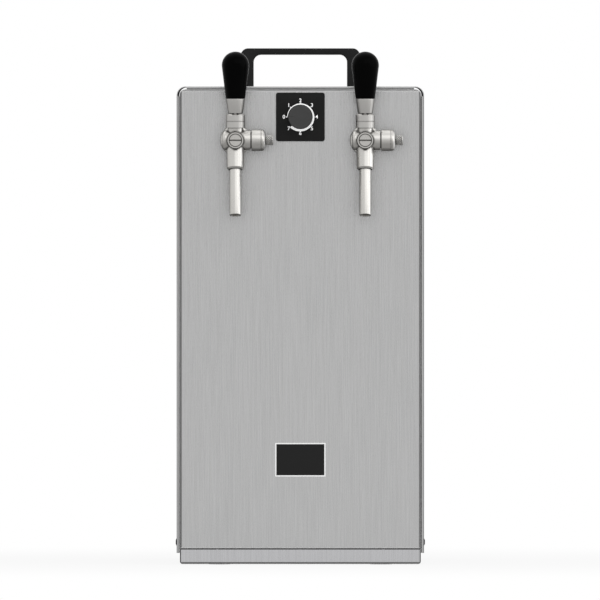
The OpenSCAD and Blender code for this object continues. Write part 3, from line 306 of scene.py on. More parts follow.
def skinned(name, made, patches, sharp=32.0):
    """A piece from patches of points[i, j] in millimetres, each closed along i or j where its flags say so.
    Four neighbours make a quad, points that coincide at seams and poles are merged, and the closed skin
    is turned outwards. Edges that turn by more than sharp degrees stay crisp."""
    points, quads, start = [], [], 0
    for grid, wrap_i, wrap_j in patches:
        n, m = grid.shape[:2]
        i, j = np.meshgrid(np.arange(n - (not wrap_i)), np.arange(m - (not wrap_j)), indexing="ij")
        k, l = (i + 1) % n, (j + 1) % m
        quads.append(np.stack([i * m + j, k * m + j, k * m + l, i * m + l], -1).reshape(-1, 4) + start)
        points.append(grid.reshape(-1, 3))
        start += n * m
    mesh = bpy.data.meshes.new(name)
    mesh.from_pydata(np.concatenate(points) * 0.001, [], np.concatenate(quads))
    whole = bmesh.new()
    whole.from_mesh(mesh)
    bmesh.ops.remove_doubles(whole, verts=whole.verts, dist=2e-7)
    bmesh.ops.recalc_face_normals(whole, faces=whole.faces)
    whole.to_mesh(mesh)
    whole.free()
    mesh.polygons.foreach_set("use_smooth", np.ones(len(mesh.polygons), bool))
    mesh.set_sharp_from_angle(angle=math.radians(sharp))
    mesh.materials.append(made)
    piece = bpy.data.objects.new(name, mesh)
    bpy.context.scene.collection.objects.link(piece)
    return piece


def seat(piece, body, slot, *nodes):
    """The piece moves with that body and stands for those CAD nodes, which are hidden. The slot is not used.
    """
    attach(piece, body)
    if nodes:
        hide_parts(*nodes)


def sleeve_flutes(h, a):
    """24 flutes along the sleeve: the radius falls with the square of cos 24a where that is negative."""
    ripple = np.cos(24 * a)
    return -0.32 * ((h > 3.6) & (h < 14.4) & (ripple < 0)) * ripple ** 2


dark_acetal, pale_acetal = (0.011, 0.011, 0.012, 1), (0.024, 0.024, 0.025, 1)
acetal, wire, spot = new_finish("acetal", Specular_IOR_Level=0.4)
flow = wire.grain(spot, 160.0, 4.0)
feed(acetal, wire.between(flow, dark_acetal, pale_acetal), 0.30 + flow * 0.16, flow, 0.00003)
inlet_x, inlet_z = 60, 198
spigot_and_nut = [(3.75, -19), (7, -19), (7, -7.2), (10.5, -7.2), (10.5, -1.2), (7.05, -1.2), (7.05, 0)]
sleeve = [(9, 0), (9, 2.6), (8.6, 3.4), (8.6, 14.6), (9, 15.4), (9, 19)]
collar_and_bore = [(6.6, 19), (6.6, 19.5), (7.5, 19.5), (7.5, 22), (4.85, 22), (4.85, 6), (3.75, 6)]
inlet_line = eased(spigot_and_nut + sleeve + collar_and_bore,
                   [0, 0.4, 0.1, 0.6, 0.6, 0.1, 0] + [0.3, 0.3, 0.3, 0.3, 0.3, 0.9]
                   + [0, 0, 0.3, 0.7, 0.4, 0.1, 0.1])
inlet = turned(inlet_line, 144, sleeve_flutes)
pair = [stood(inlet, (x, rear_y, inlet_z), (0, 1, 0), (1, 0, 0)) for x in (-inlet_x, inlet_x)]
seat(skinned("drink_inlets", acetal, pair), "cabinet", "fitting_black", "inlet_fittings")


# Cable gland: a black polyamide body with a hexagon flange and a domed, fluted clamping nut.
# A hexagon lock nut holds it behind the panel, and the power cable would pass through its bore.

def hexagon(a, flat):
    """The radius at the angle a of a hexagon whose sides lie at the distance flat from its middle."""
    return flat / np.cos((a + np.pi / 6) % (np.pi / 3) - np.pi / 6)


def gland_grip(h, a):
    """What the radius gains: nine tenths of the way to a hexagon at the lock nut and the flange. The
    clamping nut loses 18 square flutes."""
    lock_nut, flange, clamp = (h > -7.1) & (h < -1.3), (h > 0.5) & (h < 4.4), (h > 5.9) & (h < 9.8)
    corners = 0.9 * (hexagon(a, gland_flat) - gland_flat)
    return (lock_nut | flange) * corners - clamp * 0.35 * (np.cos(18 * a) > 0.3)


gland_x, gland_z, gland_flat = 70, 62, 9.1
lock_nut_line = [(4.2, -8.2), (7.2, -8.2), (7.2, -7.2), (9.4, -7.2), (9.4, -1.2), (7.2, -1.2), (7.2, 0)]
flange_line = [(gland_flat, 0), (gland_flat, 4.6), (8.0, 4.8), (8.0, 5.4)]
clamp_line = [(9.4, 5.6), (9.4, 9.6), (6.4, 14), (4.2, 14)]
gland_line = eased(lock_nut_line + flange_line + clamp_line,
                   [0.2, 0.3, 0, 0.3, 0.3, 0, 0, 0.4, 0.3, 0.05, 0.05, 0.3, 2.2, 0.6, 0.3])
gland = stood(turned(gland_line, 144, gland_grip), (gland_x, rear_y, gland_z), (0, 1, 0), (1, 0, 0))
seat(skinned("cable_gland_body", moulding, [gland]), "cabinet", "fitting_black", "cable_gland")


# Front panel: a pan of brushed stainless sheet with rounded bends, set just inside the cover's hems.
# It is pierced for the two tap shanks and the thermostat, and screwed down to the tray's lip.
dress(satin_steel("front_steel", panel_tone), "front_panel")
front_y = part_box("front_panel")[0].y * 1000


# Thermostat: a pale moulded housing clamped behind the front panel by a nut on its bush, with a plain
# steel shaft. A square dial plate of black plastic, hollow behind, covers the nut in front.
shaded_housing, pale_housing = (0.62, 0.62, 0.60, 1), (0.72, 0.72, 0.70, 1)
housing, wire, spot = new_finish("housing_plastic", Specular_IOR_Level=0.4)
gate = wire.grain(spot, 80.0, 4.0)
feed(housing, wire.between(gate, shaded_housing, pale_housing), 0.42 + gate * 0.15, gate, 0.00004, 0.0004)
dress(housing, "thermostat_body")
dress(zinc, "thermostat_shaft")

fresh_dial, rubbed_dial = (0.0065, 0.0065, 0.0065, 1), (0.0110, 0.0110, 0.0110, 1)
dial_black, wire, spot = new_finish("dial_plastic", Specular_IOR_Level=0.15)
spark, rub_and_highlight = wire.grain(spot, 3200.0, 3.0), wire.grain(spot, 60.0, 4.0)
feed(dial_black, wire.between(rub_and_highlight, fresh_dial, rubbed_dial), 0.50 + spark * 0.16, spark, 0.00002)
dial_z, dial_half, dial_thick, dial_round, dial_corner = 452.5, 24.6, 3.5, 0.5, 2.5
nut_room, shaft_hole, nut_depth = 10.2, 4, 2.3


def at_dial(ring, y):
    """A loop of (across, up) about the dial's middle, at the depth y from the panel's face."""
    return np.stack([ring[:, 0], np.full(len(ring), front_y + y), dial_z + ring[:, 1]], -1)


def square_loop(inset, y):
    """The plate's outline, a square with rounded corners drawn in by inset, at the depth y."""
    h = dial_half - inset
    return at_dial(eased([(-h, -h), (h, -h), (h, h), (-h, h)], dial_corner - inset, 9), y)


def hole_loop(radius, y):
    """A circle with a point on the same ray as each point of the outline, at the depth y."""
    ring = eased([(-1, -1), (1, -1), (1, 1), (-1, 1)], 0.1, 9)
    return at_dial(ring / np.linalg.norm(ring, axis=1)[:, None] * radius, y)


front_edge = [square_loop(dial_round * (1 - math.sin(t)), dial_round * (1 - math.cos(t)) - dial_thick)
              for t in np.linspace(0, np.pi / 2, 6)]
plate = np.stack([hole_loop(nut_room, -nut_depth), hole_loop(shaft_hole, -nut_depth),
                  hole_loop(shaft_hole, -dial_thick), *front_edge,
                  square_loop(0, 0), hole_loop(nut_room, 0)])
seat(skinned("dial_plate_face", dial_black, [(plate, True, True)]), "cabinet", "dial_black", "dial_plate")


# Dial scale: white ink, pad printed on the plate as a thin raised film, and given a painted glow, a weak
# emission that lifts it out of the knob's shade.
# A band widens clockwise from 0 to 7, with a stroke and an upright figure at each step.
print_shade, print_light = (0.94, 0.94, 0.94, 1), (1.0, 1.0, 1.0, 1)
# Painted light: the ink glows a little, though it is no lamp.
print_white, wire, spot = new_finish("print_white", Specular_IOR_Level=0.3, Emission_Color=(1, 1, 1, 1),
                                     Emission_Strength=0.35)
mottle = wire.grain(spot, 1800.0, 3.0)
feed(print_white, wire.between(mottle, print_shade, print_light), 0.45 + mottle * 0.15, mottle, 0.00001)
film, face = 0.06, front_y - dial_thick
first_mark, mark_turn, mark_count = 180, 45, 8
band_r, band_wide = (12.95, 13.57), (0.50, 2.45)
stroke_r, stroke_end, stroke_least, stroke_turn = (13.22, 14.815), 14.55, 0.15, 0.03
figure_out, figure_high, figure_bold = 16.60, 5.3, 0.06


def band(angle, inner, outer):
    """A film carried round the dial: at each angle a small rectangle from the inner to the outer radius."""
    a, radius = angle[:, None], np.stack([inner, outer, outer, inner], -1)
    depth = np.broadcast_to([face - film, face - film, face, face], radius.shape)
    return np.stack([radius * np.cos(a), depth, dial_z + radius * np.sin(a)], -1), False, True


share = np.linspace(0, 1, 130)
sweep = np.radians(first_mark - mark_turn * (mark_count - 1) * share)
middle, width = (start + (end - start) * share for start, end in (band_r, band_wide))
width[[0, -1]] = 0
marks = [band(sweep, middle - width / 2, middle + width / 2)]
step_angles = np.radians(first_mark - mark_turn * np.arange(mark_count))
for at, start in zip(step_angles, np.linspace(*stroke_r, mark_count)):
    length = np.array([0, 1, 1, 0]) * max(stroke_end - start, stroke_least)
    marks.append(band(at + stroke_turn * np.array([-1, -1, 1, 1]), np.full(4, start), start + length))
scale = skinned("dial_scale", print_white, marks)
whole = bmesh.new()
whole.from_mesh(scale.data)
for step, at in enumerate(step_angles):
    curve = bpy.data.curves.new("figure", "FONT")
    curve.body, curve.size, curve.align_x, curve.align_y = str(step), figure_high / 1000, "CENTER", "CENTER"
    curve.offset, curve.extrude = figure_bold / 1000, film / 2000
    figure = bpy.data.objects.new("figure", curve)
    bpy.context.scene.collection.objects.link(figure)
    glyph = bpy.data.meshes.new_from_object(figure.evaluated_get(bpy.context.evaluated_depsgraph_get()))
    place = Vector((figure_out * math.cos(at), face - film / 2, dial_z + figure_out * math.sin(at))) / 1000
    glyph.transform(Matrix.Translation(place) @ Matrix.Rotation(math.pi / 2, 4, "X"))
    whole.from_mesh(glyph)
    bpy.data.objects.remove(figure)
    bpy.data.meshes.remove(glyph)
whole.to_mesh(scale.data)
whole.free()
seat(scale, "cabinet", "dial_black")


# Thermostat knob: a dark grey moulded cap, pressed on the shaft.
# It has a fluted skirt and a flat face with a fine pointer groove near its edge.
knob_shade, knob_light = (0.040, 0.040, 0.040, 1), (0.049, 0.049, 0.049, 1)
knob_grey, wire, spot = new_finish("knob_plastic", Specular_IOR_Level=0.25)
spark, rub_and_highlight = wire.grain(spot, 2800.0, 3.0), wire.grain(spot, 70.0, 4.0)
feed(knob_grey, wire.between(rub_and_highlight, knob_shade, knob_light), 0.44 + spark * 0.14, spark, 0.00002)
knob_r, knob_high, knob_round, knob_bore, knob_gap = 12.2, 13, 0.9, 3.05, 3.9
groove_from, groove_half, groove_deep = 6.5, 0.45, 0.35


def skirt_flutes(h, a):
    """30 flutes down the skirt: the radius falls with the square of cos 30a where that is positive."""
    ripple = np.cos(30 * a)
    return -0.28 * ((h > 1.0) & (h < 11.2)) * (ripple > 0) * ripple ** 2


wall_line = eased([(0, 9), (knob_bore, 9), (knob_bore, 0), (11.9, 0), (knob_r, 0.6), (knob_r, knob_high),
                   (0, knob_high)], [0, 0, 0.2, 0.3, 0.3, knob_round, 0])[:-6]
inward = np.linspace(knob_r - knob_round, 0, 26)
knob_line = np.concatenate([wall_line, np.stack([inward, np.full(len(inward), float(knob_high))], -1)])
grid, *wraps = turned(knob_line, 180, skirt_flutes)
on_face = grid[..., 2] > knob_high - 0.05
outward, aside = -grid[..., 0], np.abs(grid[..., 1])
groove = on_face * np.clip((outward - groove_from) / 0.6, 0, 1) * np.clip(1.2 - aside / groove_half, 0, 1)
grid[..., 2] -= groove_deep * groove
knob = stood((grid, *wraps), (0, front_y - knob_gap, dial_z), (0, -1, 0), (1, 0, 0))
seat(skinned("thermostat_knob_cap", knob_grey, [knob]), "thermostat_dial", "knob_grey", "thermostat_knob")


# Taps: turned and polished stainless bodies on threaded shanks, each clamped to the front panel by a nut
# behind it. A slotted plug closes the valve in front, a bonnet with a domed top holds the lever's ball,
# and a piston opens the flow.
tap_x, tap_y, tap_z = 65.5, -220.0, 429.0
taps = {"left": (-tap_x, tap_y, tap_z), "right": (tap_x, tap_y, tap_z)}


def polished_steel(name, dark, light, rough, near, shut, clear, rub_and_highlight):
    """Turned stainless, polished: fine noise for the last turning marks, and faint clouds of handling in
    tone and gloss. Grooves and inner corners, where the share of open space within near metres falls from
    clear to shut, are painted dark as shade, and so are thin rings at the edges of the front plug and its
    boss, about each tap's axis, as painted shade lines. Faces that look down are painted darker as shade,
    and those half turned to the right get a painted highlight, by the given share."""
    painted_shade_colour, painted_highlight_colour, tint = (0.045, 0.043, 0.040, 1), (0.96, 0.95, 0.93, 1), (0.25, 0.25, 0.25, 1)
    plug_edge, boss_edge, plug_front, deepest_underside_shade = 0.0063, 0.0083, -0.235, 0.57
    made, wire, spot = new_finish(name, Metallic=0.9, Specular_IOR_Level=0.3, Specular_Tint=tint)
    marks, touch = wire.grain(spot, 3000.0, 3.0), wire.grain(spot, 75.0, 4.0)
    # Painted shade: where ambient occlusion finds little open space, the colour goes toward a dark tone.
    open_to = wire.node("AmbientOcclusion", {"samples": 8}, out=1, Distance=near).rise(shut, clear)
    across, depth, up = wire.xyz(spot)
    across, up = abs(across) - tap_x / 1000, up - tap_z / 1000
    from_axis = (across * across + up * up) ** 0.5
    # Painted shade lines: thin dark rings at the edges of the front plug and its boss.
    in_front = depth.rise(plug_front + 0.0005, plug_front - 0.0005)
    off_plug_edge, off_boss_edge = abs(from_axis - plug_edge), abs(from_axis - boss_edge)
    off_rings = wire.maths("MINIMUM", off_plug_edge.rise(0.0002, 0.0006), off_boss_edge.rise(0.0002, 0.0005))
    rightward, _, rising = wire.facing()
    # Painted highlight on faces half turned to the right, and painted shade on faces that look down.
    painted_highlight = rightward.rise(0.52, 0.72) * (1.0 - rightward.rise(0.82, 0.93)) * rub_and_highlight
    painted_underside_shade = rising.rise(0.35, -0.45) * (1.0 - painted_highlight)
    unshaded_share = open_to * (1.0 - in_front * (1.0 - off_rings)) * (1.0 - deepest_underside_shade * painted_underside_shade)
    lit_colour = wire.between(painted_highlight, wire.between(touch * 0.7 + marks * 0.3, dark, light), painted_highlight_colour)
    gloss = rough + touch * 0.08 + marks * 0.04
    feed(made, wire.between(unshaded_share, painted_shade_colour, lit_colour), gloss, marks, 0.000003, 0.00015)
    return made


tap_steel = polished_steel("tap_polish", (0.550, 0.537, 0.511, 1), (0.612, 0.600, 0.574, 1),
                           rough=0.22, near=0.0025, shut=0.40, clear=0.94, rub_and_highlight=0.85)
dress(tap_steel, "tap_shanks", "tap_body_left", "tap_body_right", "front_plugs", "valve_piston_left",
      "valve_piston_right", "flow_cone_left", "flow_cone_right", "lever_stem_left", "lever_stem_right")
dress(zinc, "shank_nuts")
satin_turned = polished_steel("bonnet_satin", (0.520, 0.510, 0.490, 1), (0.590, 0.578, 0.558, 1),
                              rough=0.28, near=0.0025, shut=0.40, clear=0.94, rub_and_highlight=0.35)
dress(satin_turned, "bonnet_left", "bonnet_right")


# Escutcheons: turned stainless rings with a broad rounded edge.
# Each is trapped between its tap's collar and the panel, round the shank.
ring_bore, ring_r, ring_thick = 8.05, 15.5, 4
ring_line = eased([(ring_bore, 0), (ring_r, 0), (ring_r, ring_thick), (ring_bore, ring_thick)],
                  [0.2, 0.25, 2.2, 0.4], 9)
rings = [stood(turned(ring_line, 128), (x, front_y, z), (0, -1, 0), (1, 0, 0)) for x, _, z in taps.values()]
seat(skinned("tap_rings", tap_steel, rings), "cabinet", "tap_steel", "tap_escutcheons")


# Spouts: thin walled stainless tubes that lean forward, their rims rounded and open at the end.
# Each is pushed into its tap's outlet by a turned down spigot.
spout_bore, spigot_r, spout_r = 4.5, 5.5, 5.9
spigot_top, outlet_foot, spout_end, lean = 20.6, 30.6, 78.3, math.radians(15)
spout_line = eased([(spout_bore, spigot_top), (spigot_r, spigot_top), (spigot_r, outlet_foot),
                    (spout_r, outlet_foot), (spout_r, spout_end), (spout_bore, spout_end)],
                   [0.2, 0.2, 0, 0.15, 0.55, 0.45])
for side, at in taps.items():
    spout = stood(turned(spout_line, 96), at, (0, -math.sin(lean), -math.cos(lean)), (1, 0, 0))
    seat(skinned("spout_tube_" + side, tap_steel, [spout]), "cabinet", "tap_steel", "spout_" + side)


# Flow controls: a turned cap on the barrel's right end, with a rounded shoulder and a fine line where the
# rounding starts. A knurled screw turns in it; its spindle drives the flow cone along inside the barrel.
spindle_bore, cap_r, cap_end = 2.55, 10.8, 30.2
cap_line = eased([(spindle_bore, 15.1), (8.1, 15.1), (8.1, 16.2), (cap_r, 16.2), (cap_r, 25.55),
                  (10.42, 25.85), (cap_r, 26.1), (cap_r, cap_end), (spindle_bore, cap_end)],
                 [0, 0, 0.1, 0.5, 0.02, 0.02, 0.02, 4.1, 0.3], 8)
spindle_r, spindle_tip, screw_r, screw_start, screw_end, corner_steps = 2.5, 7.8, 5.0, 30.5, 37.9, 4
knurl_from, knurl_to, knurl_cross, knurl_starts, knurl_pitch, knurl_deep = 30.95, 37.4, 30.9, 13, 2.4, 0.8
screw_line = eased([(0, spindle_tip), (spindle_r, spindle_tip), (spindle_r, screw_start),
                    (screw_r, screw_start), (screw_r, screw_end), (0, screw_end)],
                   [0, 0.2, 0, 0.35, 0.35, 0], corner_steps)
along = np.linspace(knurl_from, knurl_to, 46)
body_line, shoulder = np.stack([np.full(len(along), screw_r), along], -1), 4 * corner_steps
screw_line = np.concatenate([screw_line[:shoulder], body_line, screw_line[shoulder:]])


def knurl(h, a):
    """Crossing helical grooves: the radius falls with the deeper of two triangle waves in a and h."""
    turns = knurl_starts * a / (2 * np.pi)
    one, two = ((turns + s * (h - knurl_cross) / knurl_pitch) % 1.0 for s in (-1, 1))
    deep = np.maximum(np.abs(2 * one - 1), np.abs(2 * two - 1))
    on_body = (h > knurl_from - 0.01) & (h < knurl_to + 0.01)
    return -knurl_deep * np.clip((deep - 0.5) / 0.3, 0, 1) * on_body


knurled_steel = polished_steel("tap_knurl", (0.88, 0.87, 0.84, 1), (0.96, 0.95, 0.92, 1),
                               rough=0.20, near=0.0010, shut=0.60, clear=0.88, rub_and_highlight=0.0)
for side, at in taps.items():
    cap = stood(turned(cap_line, 112), at, (1, 0, 0), (0, 0, 1))
    seat(skinned("flow_cap_turned_" + side, tap_steel, [cap]), "cabinet", "tap_steel", "flow_cap_" + side)
    screw = stood(turned(screw_line, 260, knurl), at, (1, 0, 0), (0, 0, 1))
    seat(skinned("flow_screw_" + side, knurled_steel, [screw], 60.0), "adjuster_" + side, "tap_steel",
         "flow_adjuster_" + side)


# Levers: a steel stem with its ball in the bonnet, a flared stainless ferrule, and a gloss black moulded
# grip screwed on above it. The ferrule's hollow foot rides clear of the bonnet's dome.
stem_bore, foot_r, rim_r, foot_h, rim_h = 3.05, 7.3, 9.5, 27.3, 41.9
rise = np.linspace(0, 1, 24)
flare_r = foot_r + (rim_r - foot_r) * (1 - (1 - rise) ** 1.25)
flare = np.stack([flare_r, foot_h + (rim_h - foot_h) * rise], -1)
hollow, dome_r, pivot_h = np.linspace(stem_bore, foot_r, 10), 14.3, 15
dome = np.stack([hollow, pivot_h + np.sqrt(dome_r ** 2 - hollow ** 2)], -1)
rim = eased([(9.46, 41.5), (rim_r, rim_h), (stem_bore, rim_h), (stem_bore, 30)],
            [0.02, 0.3, 0, 0], corner_steps)[corner_steps:3 * corner_steps]
ferrule_line = np.concatenate([dome, flare[1:-1], rim])
bulb_r, bulb_h, bulb_from = 13.8, 75.7, -6.92
bulb = np.radians(np.linspace(bulb_from, 90, 48))
taper_low, taper_high = np.array([9.92, 43.2]), np.array([13.7, 74.04])
taper = np.linspace(0, 1, 20)[:, None]
grip_foot = [(0, 70), (stem_bore, 70), (stem_bore, rim_h), (9.0, rim_h), (9.45, 42.0), (9.72, 42.3),
             (9.85, 42.8)]
grip_line = np.concatenate([grip_foot, taper_low * (1 - taper) + taper_high * taper,
                            np.stack([bulb_r * np.cos(bulb), bulb_h + bulb_r * np.sin(bulb)], -1)[1:]])
grip_line[-1] = 0, bulb_h + bulb_r
deep_gloss, soft_gloss = (0.0004, 0.0004, 0.0004, 1), (0.0010, 0.0010, 0.0010, 1)
grip_black, wire, spot = new_finish("grip_gloss", Specular_IOR_Level=0.02)
flow = wire.grain(spot, 110.0, 4.0)
feed(grip_black, wire.between(flow, deep_gloss, soft_gloss), 0.18 + flow * 0.10, flow, 0.00003)
for side, at in taps.items():
    ferrule = stood(turned(ferrule_line, 96), at, (0, 0, 1), (1, 0, 0))
    seat(skinned("ferrule_flare_" + side, satin_turned, [ferrule]), "lever_" + side, "tap_steel",
         "lever_ferrule_" + side)
    grip = stood(turned(grip_line, 128), at, (0, 0, 1), (1, 0, 0))
    seat(skinned("grip_bulb_" + side, grip_black, [grip]), "lever_" + side, "grip_black",
         "lever_grip_" + side)


# Name plate: a thin black enamelled plate, left blank, with a white line printed round its edge.
# It is glued to the middle of the front panel, low down.
enamel_shade, enamel_light = (0.0095, 0.0095, 0.0095, 1), (0.0150, 0.0150, 0.0150, 1)
line_shade, line_light, line_wide = (0.84, 0.84, 0.84, 1), (0.95, 0.95, 0.95, 1), 0.00127
plate_black, wire, spot = new_finish("name_plate_enamel", Specular_IOR_Level=0.12)
low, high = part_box("name_plate")
mid, half = (low + high) / 2, (high - low) / 2
across, _, up = wire.xyz(spot)
from_rim = wire.maths("MINIMUM", half.x - abs(across - mid.x), half.z - abs(up - mid.z))
inside = from_rim.rise(line_wide - 0.00005, line_wide + 0.00005)
fleck = wire.grain(spot, 1400.0, 3.0)
enamelled = wire.between(fleck, enamel_shade, enamel_light)
printed = wire.between(fleck, line_shade, line_light)
feed(plate_black, wire.between(inside, printed, enamelled), 0.34 + fleck * 0.12, 1.0 - inside, 0.00005)
dress(plate_black, "name_plate")


# Cover: one sheet of brushed stainless bent over the top and down both sides.
# Its front and rear edges are folded back on themselves as hems, which stop short of the two bent corners.
# The cover's rounded front and rear edges are painted nearly black where they face sideways or down, as
# painted shade lines along the hems.
cover_steel = satin_steel("cover_steel", (0.47, 0.47, 0.47), side=(0.03, 0.03), under=(0.03, 0.03))
low, high = (v * 1000 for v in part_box("cover"))
left, right, foot, top, deep = low.x, high.x, low.z, high.z, high.y - low.y
sheet, corner, stop, hem_deep, top_hem, side_hem = 1.0, 9.0, 10.0, 10, 2.0, 2.5
curl = np.linspace(0, np.pi / 2, 6)


def edge_line(nose, lap):
    """The sheet's section across an edge, as (distance in from the outer face, depth): edges rounded by
    nose in front and behind, the outer face, and an inner face that lies lap deep along the hems and a
    sheet deep between them."""
    front = np.stack([nose - nose * np.sin(curl), nose - nose * np.cos(curl)], -1)
    back = np.stack([front[::-1, 0], deep - front[::-1, 1]], -1)
    hem_ends = [(0, hem_deep), (0, hem_deep), (0, deep - hem_deep), (0, deep - hem_deep)]
    outer = np.concatenate([front, hem_ends, back])
    inner = outer[::-1].copy()
    inner[:, 0] = lap - inner[:, 0]
    inner[7:9, 0] = sheet
    return np.concatenate([outer, inner])


def along_cover(point, inward, line):
    """One station: the section line set out inwards from a point (across, up) of the cover's outer face."""
    flat = np.array(point, float)[None] + line[:, :1] * np.array(inward, float)[None]
    return np.stack([flat[:, 0], low.y + line[:, 1], flat[:, 1]], -1)


hem = edge_line(nose=0.5, lap=top_hem)
upright = edge_line(nose=0.8, lap=side_hem)
plain = edge_line(nose=0.3, lap=sheet)
closed = upright.copy()
closed[:, 0] = sheet
bend = np.linspace(0, np.pi / 2, 14)
up_side = (foot, closed), (foot, upright), (top - stop, upright), (top - stop, plain)
on_top = (left + stop, plain), (left + stop, hem), (right - stop, hem), (right - stop, plain)
left_side = [along_cover((left, z), (1, 0), line) for z, line in up_side]
left_bend = [along_cover((left + corner - corner * math.cos(b), top - corner + corner * math.sin(b)),
                         (math.cos(b), -math.sin(b)), plain) for b in bend]
over_top = [along_cover((x, top), (0, -1), line) for x, line in on_top]
right_bend = [along_cover((right - corner + corner * math.sin(b), top - corner + corner * math.cos(b)),
                          (-math.sin(b), -math.cos(b)), plain) for b in bend]
right_side = [along_cover((right, z), (-1, 0), line) for z, line in up_side[::-1]]
stations = np.stack(left_side + left_bend + over_top + right_bend + right_side)
cover = skinned("cover_sheet", cover_steel, [(stations, False, True)], 40.0)
seat(cover, "cabinet", "cabinet_steel", "cover")


# Edging: grey silicone ribbon pressed into the gap between the front panel's flanges and the cover's hems.
# It runs up both sides and along the top, stops the sheets from rattling and hides the inside.
silicone_shade, silicone_light = (0.54, 0.54, 0.54, 1), (0.62, 0.62, 0.62, 1)
silicone, wire, spot = new_finish("edging_silicone", Specular_IOR_Level=0.3)
milky = wire.grain(spot, 300.0, 3.0)
feed(silicone, wire.between(milky, silicone_shade, silicone_light), 0.5 + milky * 0.2, milky, 0.00005)
panel_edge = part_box("front_panel")[1] * 1000
near, far, foot_gap = front_y + 0.9, front_y + 8, 0.3


def ribbon(inner, outer, start, end):
    """A strip as points (across, depth, along): a rectangle with rounded corners that fills the gap from
    inner to outer and from near to far, carried from start to end and drawn to its middle at both ends."""
    section = eased([(inner, near), (outer, near), (outer, far), (inner, far)], 0.25, 4)
    open_to = np.array([0.0, 1, 1, 0])[:, None, None]
    section = section.mean(0) + open_to * (section - section.mean(0))
    along = np.broadcast_to(np.array([start, start, end, end])[:, None, None], section.shape[:2] + (1,))
    return np.concatenate([section, along], -1)


standing = ribbon(panel_edge.x, right - side_hem, foot + foot_gap, top - stop)
lying = ribbon(panel_edge.z, top - top_hem, left + stop, right - stop)[..., [2, 1, 0]]
strips = [(strip, False, True) for strip in (standing * (-1, 1, 1), lying, standing)]
seat(skinned("edge_ribbons", silicone, strips), "cabinet", "foam")


# Cover screws: four blackened steel button heads with a hexagon socket, two on each side.
# They hold the cover's feet, and screw into rivet nuts in the tray's walls.
deep_oxide, worn_oxide = (0.008, 0.008, 0.008, 1), (0.020, 0.020, 0.020, 1)
oxide, wire, spot = new_finish("black_oxide", Specular_IOR_Level=0.25)
worn = wire.grain(spot, 500.0, 4.0)
feed(oxide, wire.between(worn, deep_oxide, worn_oxide), 0.34 + worn * 0.2, worn, 0.00003)
screw_z, screw_inset, shank_r, shank_long = 22.3, 34, 1.95, 12
head_r, head_high, socket_flat, socket_floor, socket_rim, mouth_r = 4.0, 1.4, 1.25, 0.3, 1.15, 1.75
ball = (head_r ** 2 + head_high ** 2) / (2 * head_high)
crown = np.linspace(mouth_r, head_r, 12)
head_line = np.concatenate([[(0, 0.15), (socket_flat, socket_floor), (socket_flat, socket_rim)],
                            np.stack([crown, head_high - ball + np.sqrt(ball ** 2 - crown ** 2)], -1),
                            [(shank_r, 0), (shank_r, -shank_long), (0, -shank_long)]])


def hexagon_socket(h, a):
    """The socket's floor and rim: what a hexagon has beyond the circle inside it."""
    return ((h == socket_floor) | (h == socket_rim)) * (hexagon(a, socket_flat) - socket_flat)


head = turned(head_line, 72, hexagon_socket)
heads = [stood(head, (x, y, screw_z), (way, 0, 0), (0, 0, 1))
         for y in (low.y + screw_inset, high.y - screw_inset) for x, way in ((left, -1), (right, 1))]
seat(skinned("cover_screw_heads", oxide, heads), "cabinet", "screw_dark", "cover_screws")


# Carry handle: a bridge of black glass filled polyamide, moulded with rounded edges, on the middle of
# the cover. It is held from below by a screw up into each leg.
handle_shade, handle_light = (0.0095, 0.0095, 0.0095, 1), (0.0165, 0.0165, 0.0165, 1)
handle_black, wire, spot = new_finish("handle_plastic", Specular_IOR_Level=0.12)
spark, rub_and_highlight = wire.grain(spot, 1500.0, 4.0), wire.grain(spot, 35.0, 4.0)
feed(handle_black, wire.between(rub_and_highlight, handle_shade, handle_light), 0.42 + spark * 0.24, spark, 0.00016)
low, high = (v * 1000 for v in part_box("carry_handle"))
leg, bar, out_r, in_r, soft, lift = 13.1, 6.6, 7.4, 7.6, 0.4, 0.4
high.z += lift
middle_y, depth = (low.y + high.y) / 2, (high.y - low.y) / 2
up, bend, run = np.linspace(0, 1, 8)[:-1], np.linspace(0, np.pi / 2, 14), np.linspace(0, 1, 12)[1:-1, None]


def bridge_line(x, z, radius):
    """One edge of the bridge as (across, up): up a leg at x, round a bend of that radius to the height z,
    and along to the other leg, which mirrors the first. The ends come twice, so that they can be closed."""
    leg_line = np.stack([np.full(len(up), x), low.z + up * (z - radius - low.z)], -1)
    bend_line = np.stack([x + radius - radius * np.cos(bend), z - radius + radius * np.sin(bend)], -1)
    half = np.concatenate([leg_line, bend_line])
    whole = np.concatenate([half, half[-1] * (1 - run) + half[-1] * (-1, 1) * run, half[::-1] * (-1, 1)])
    return np.concatenate([whole[:1], whole, whole[-1:]])


outer, inner = bridge_line(low.x, high.z, out_r), bridge_line(low.x + leg, high.z - bar, in_r)
wide = np.linalg.norm(outer - inner, axis=1)
toward = (outer - inner) / wide[:, None]
arc = np.radians(np.arange(0, 360, 15.0))
side_x, side_y = np.sign(np.cos(arc + 1e-6)), np.sign(np.sin(arc + 1e-6))
reach = side_x * (wide[:, None] / 2 - soft) + soft * np.cos(arc)
reach[[0, -1]] = 0.0
flat = (outer + inner)[:, None] / 2 + toward[:, None] * reach[..., None]
across_y = np.broadcast_to(middle_y + side_y * (depth - soft) + soft * np.sin(arc), reach.shape)
bridge = np.stack([flat[..., 0], across_y, flat[..., 1]], -1)
handle = skinned("handle_bridge", handle_black, [(bridge, False, True)], 50.0)
seat(handle, "cabinet", "handle_black", "carry_handle")


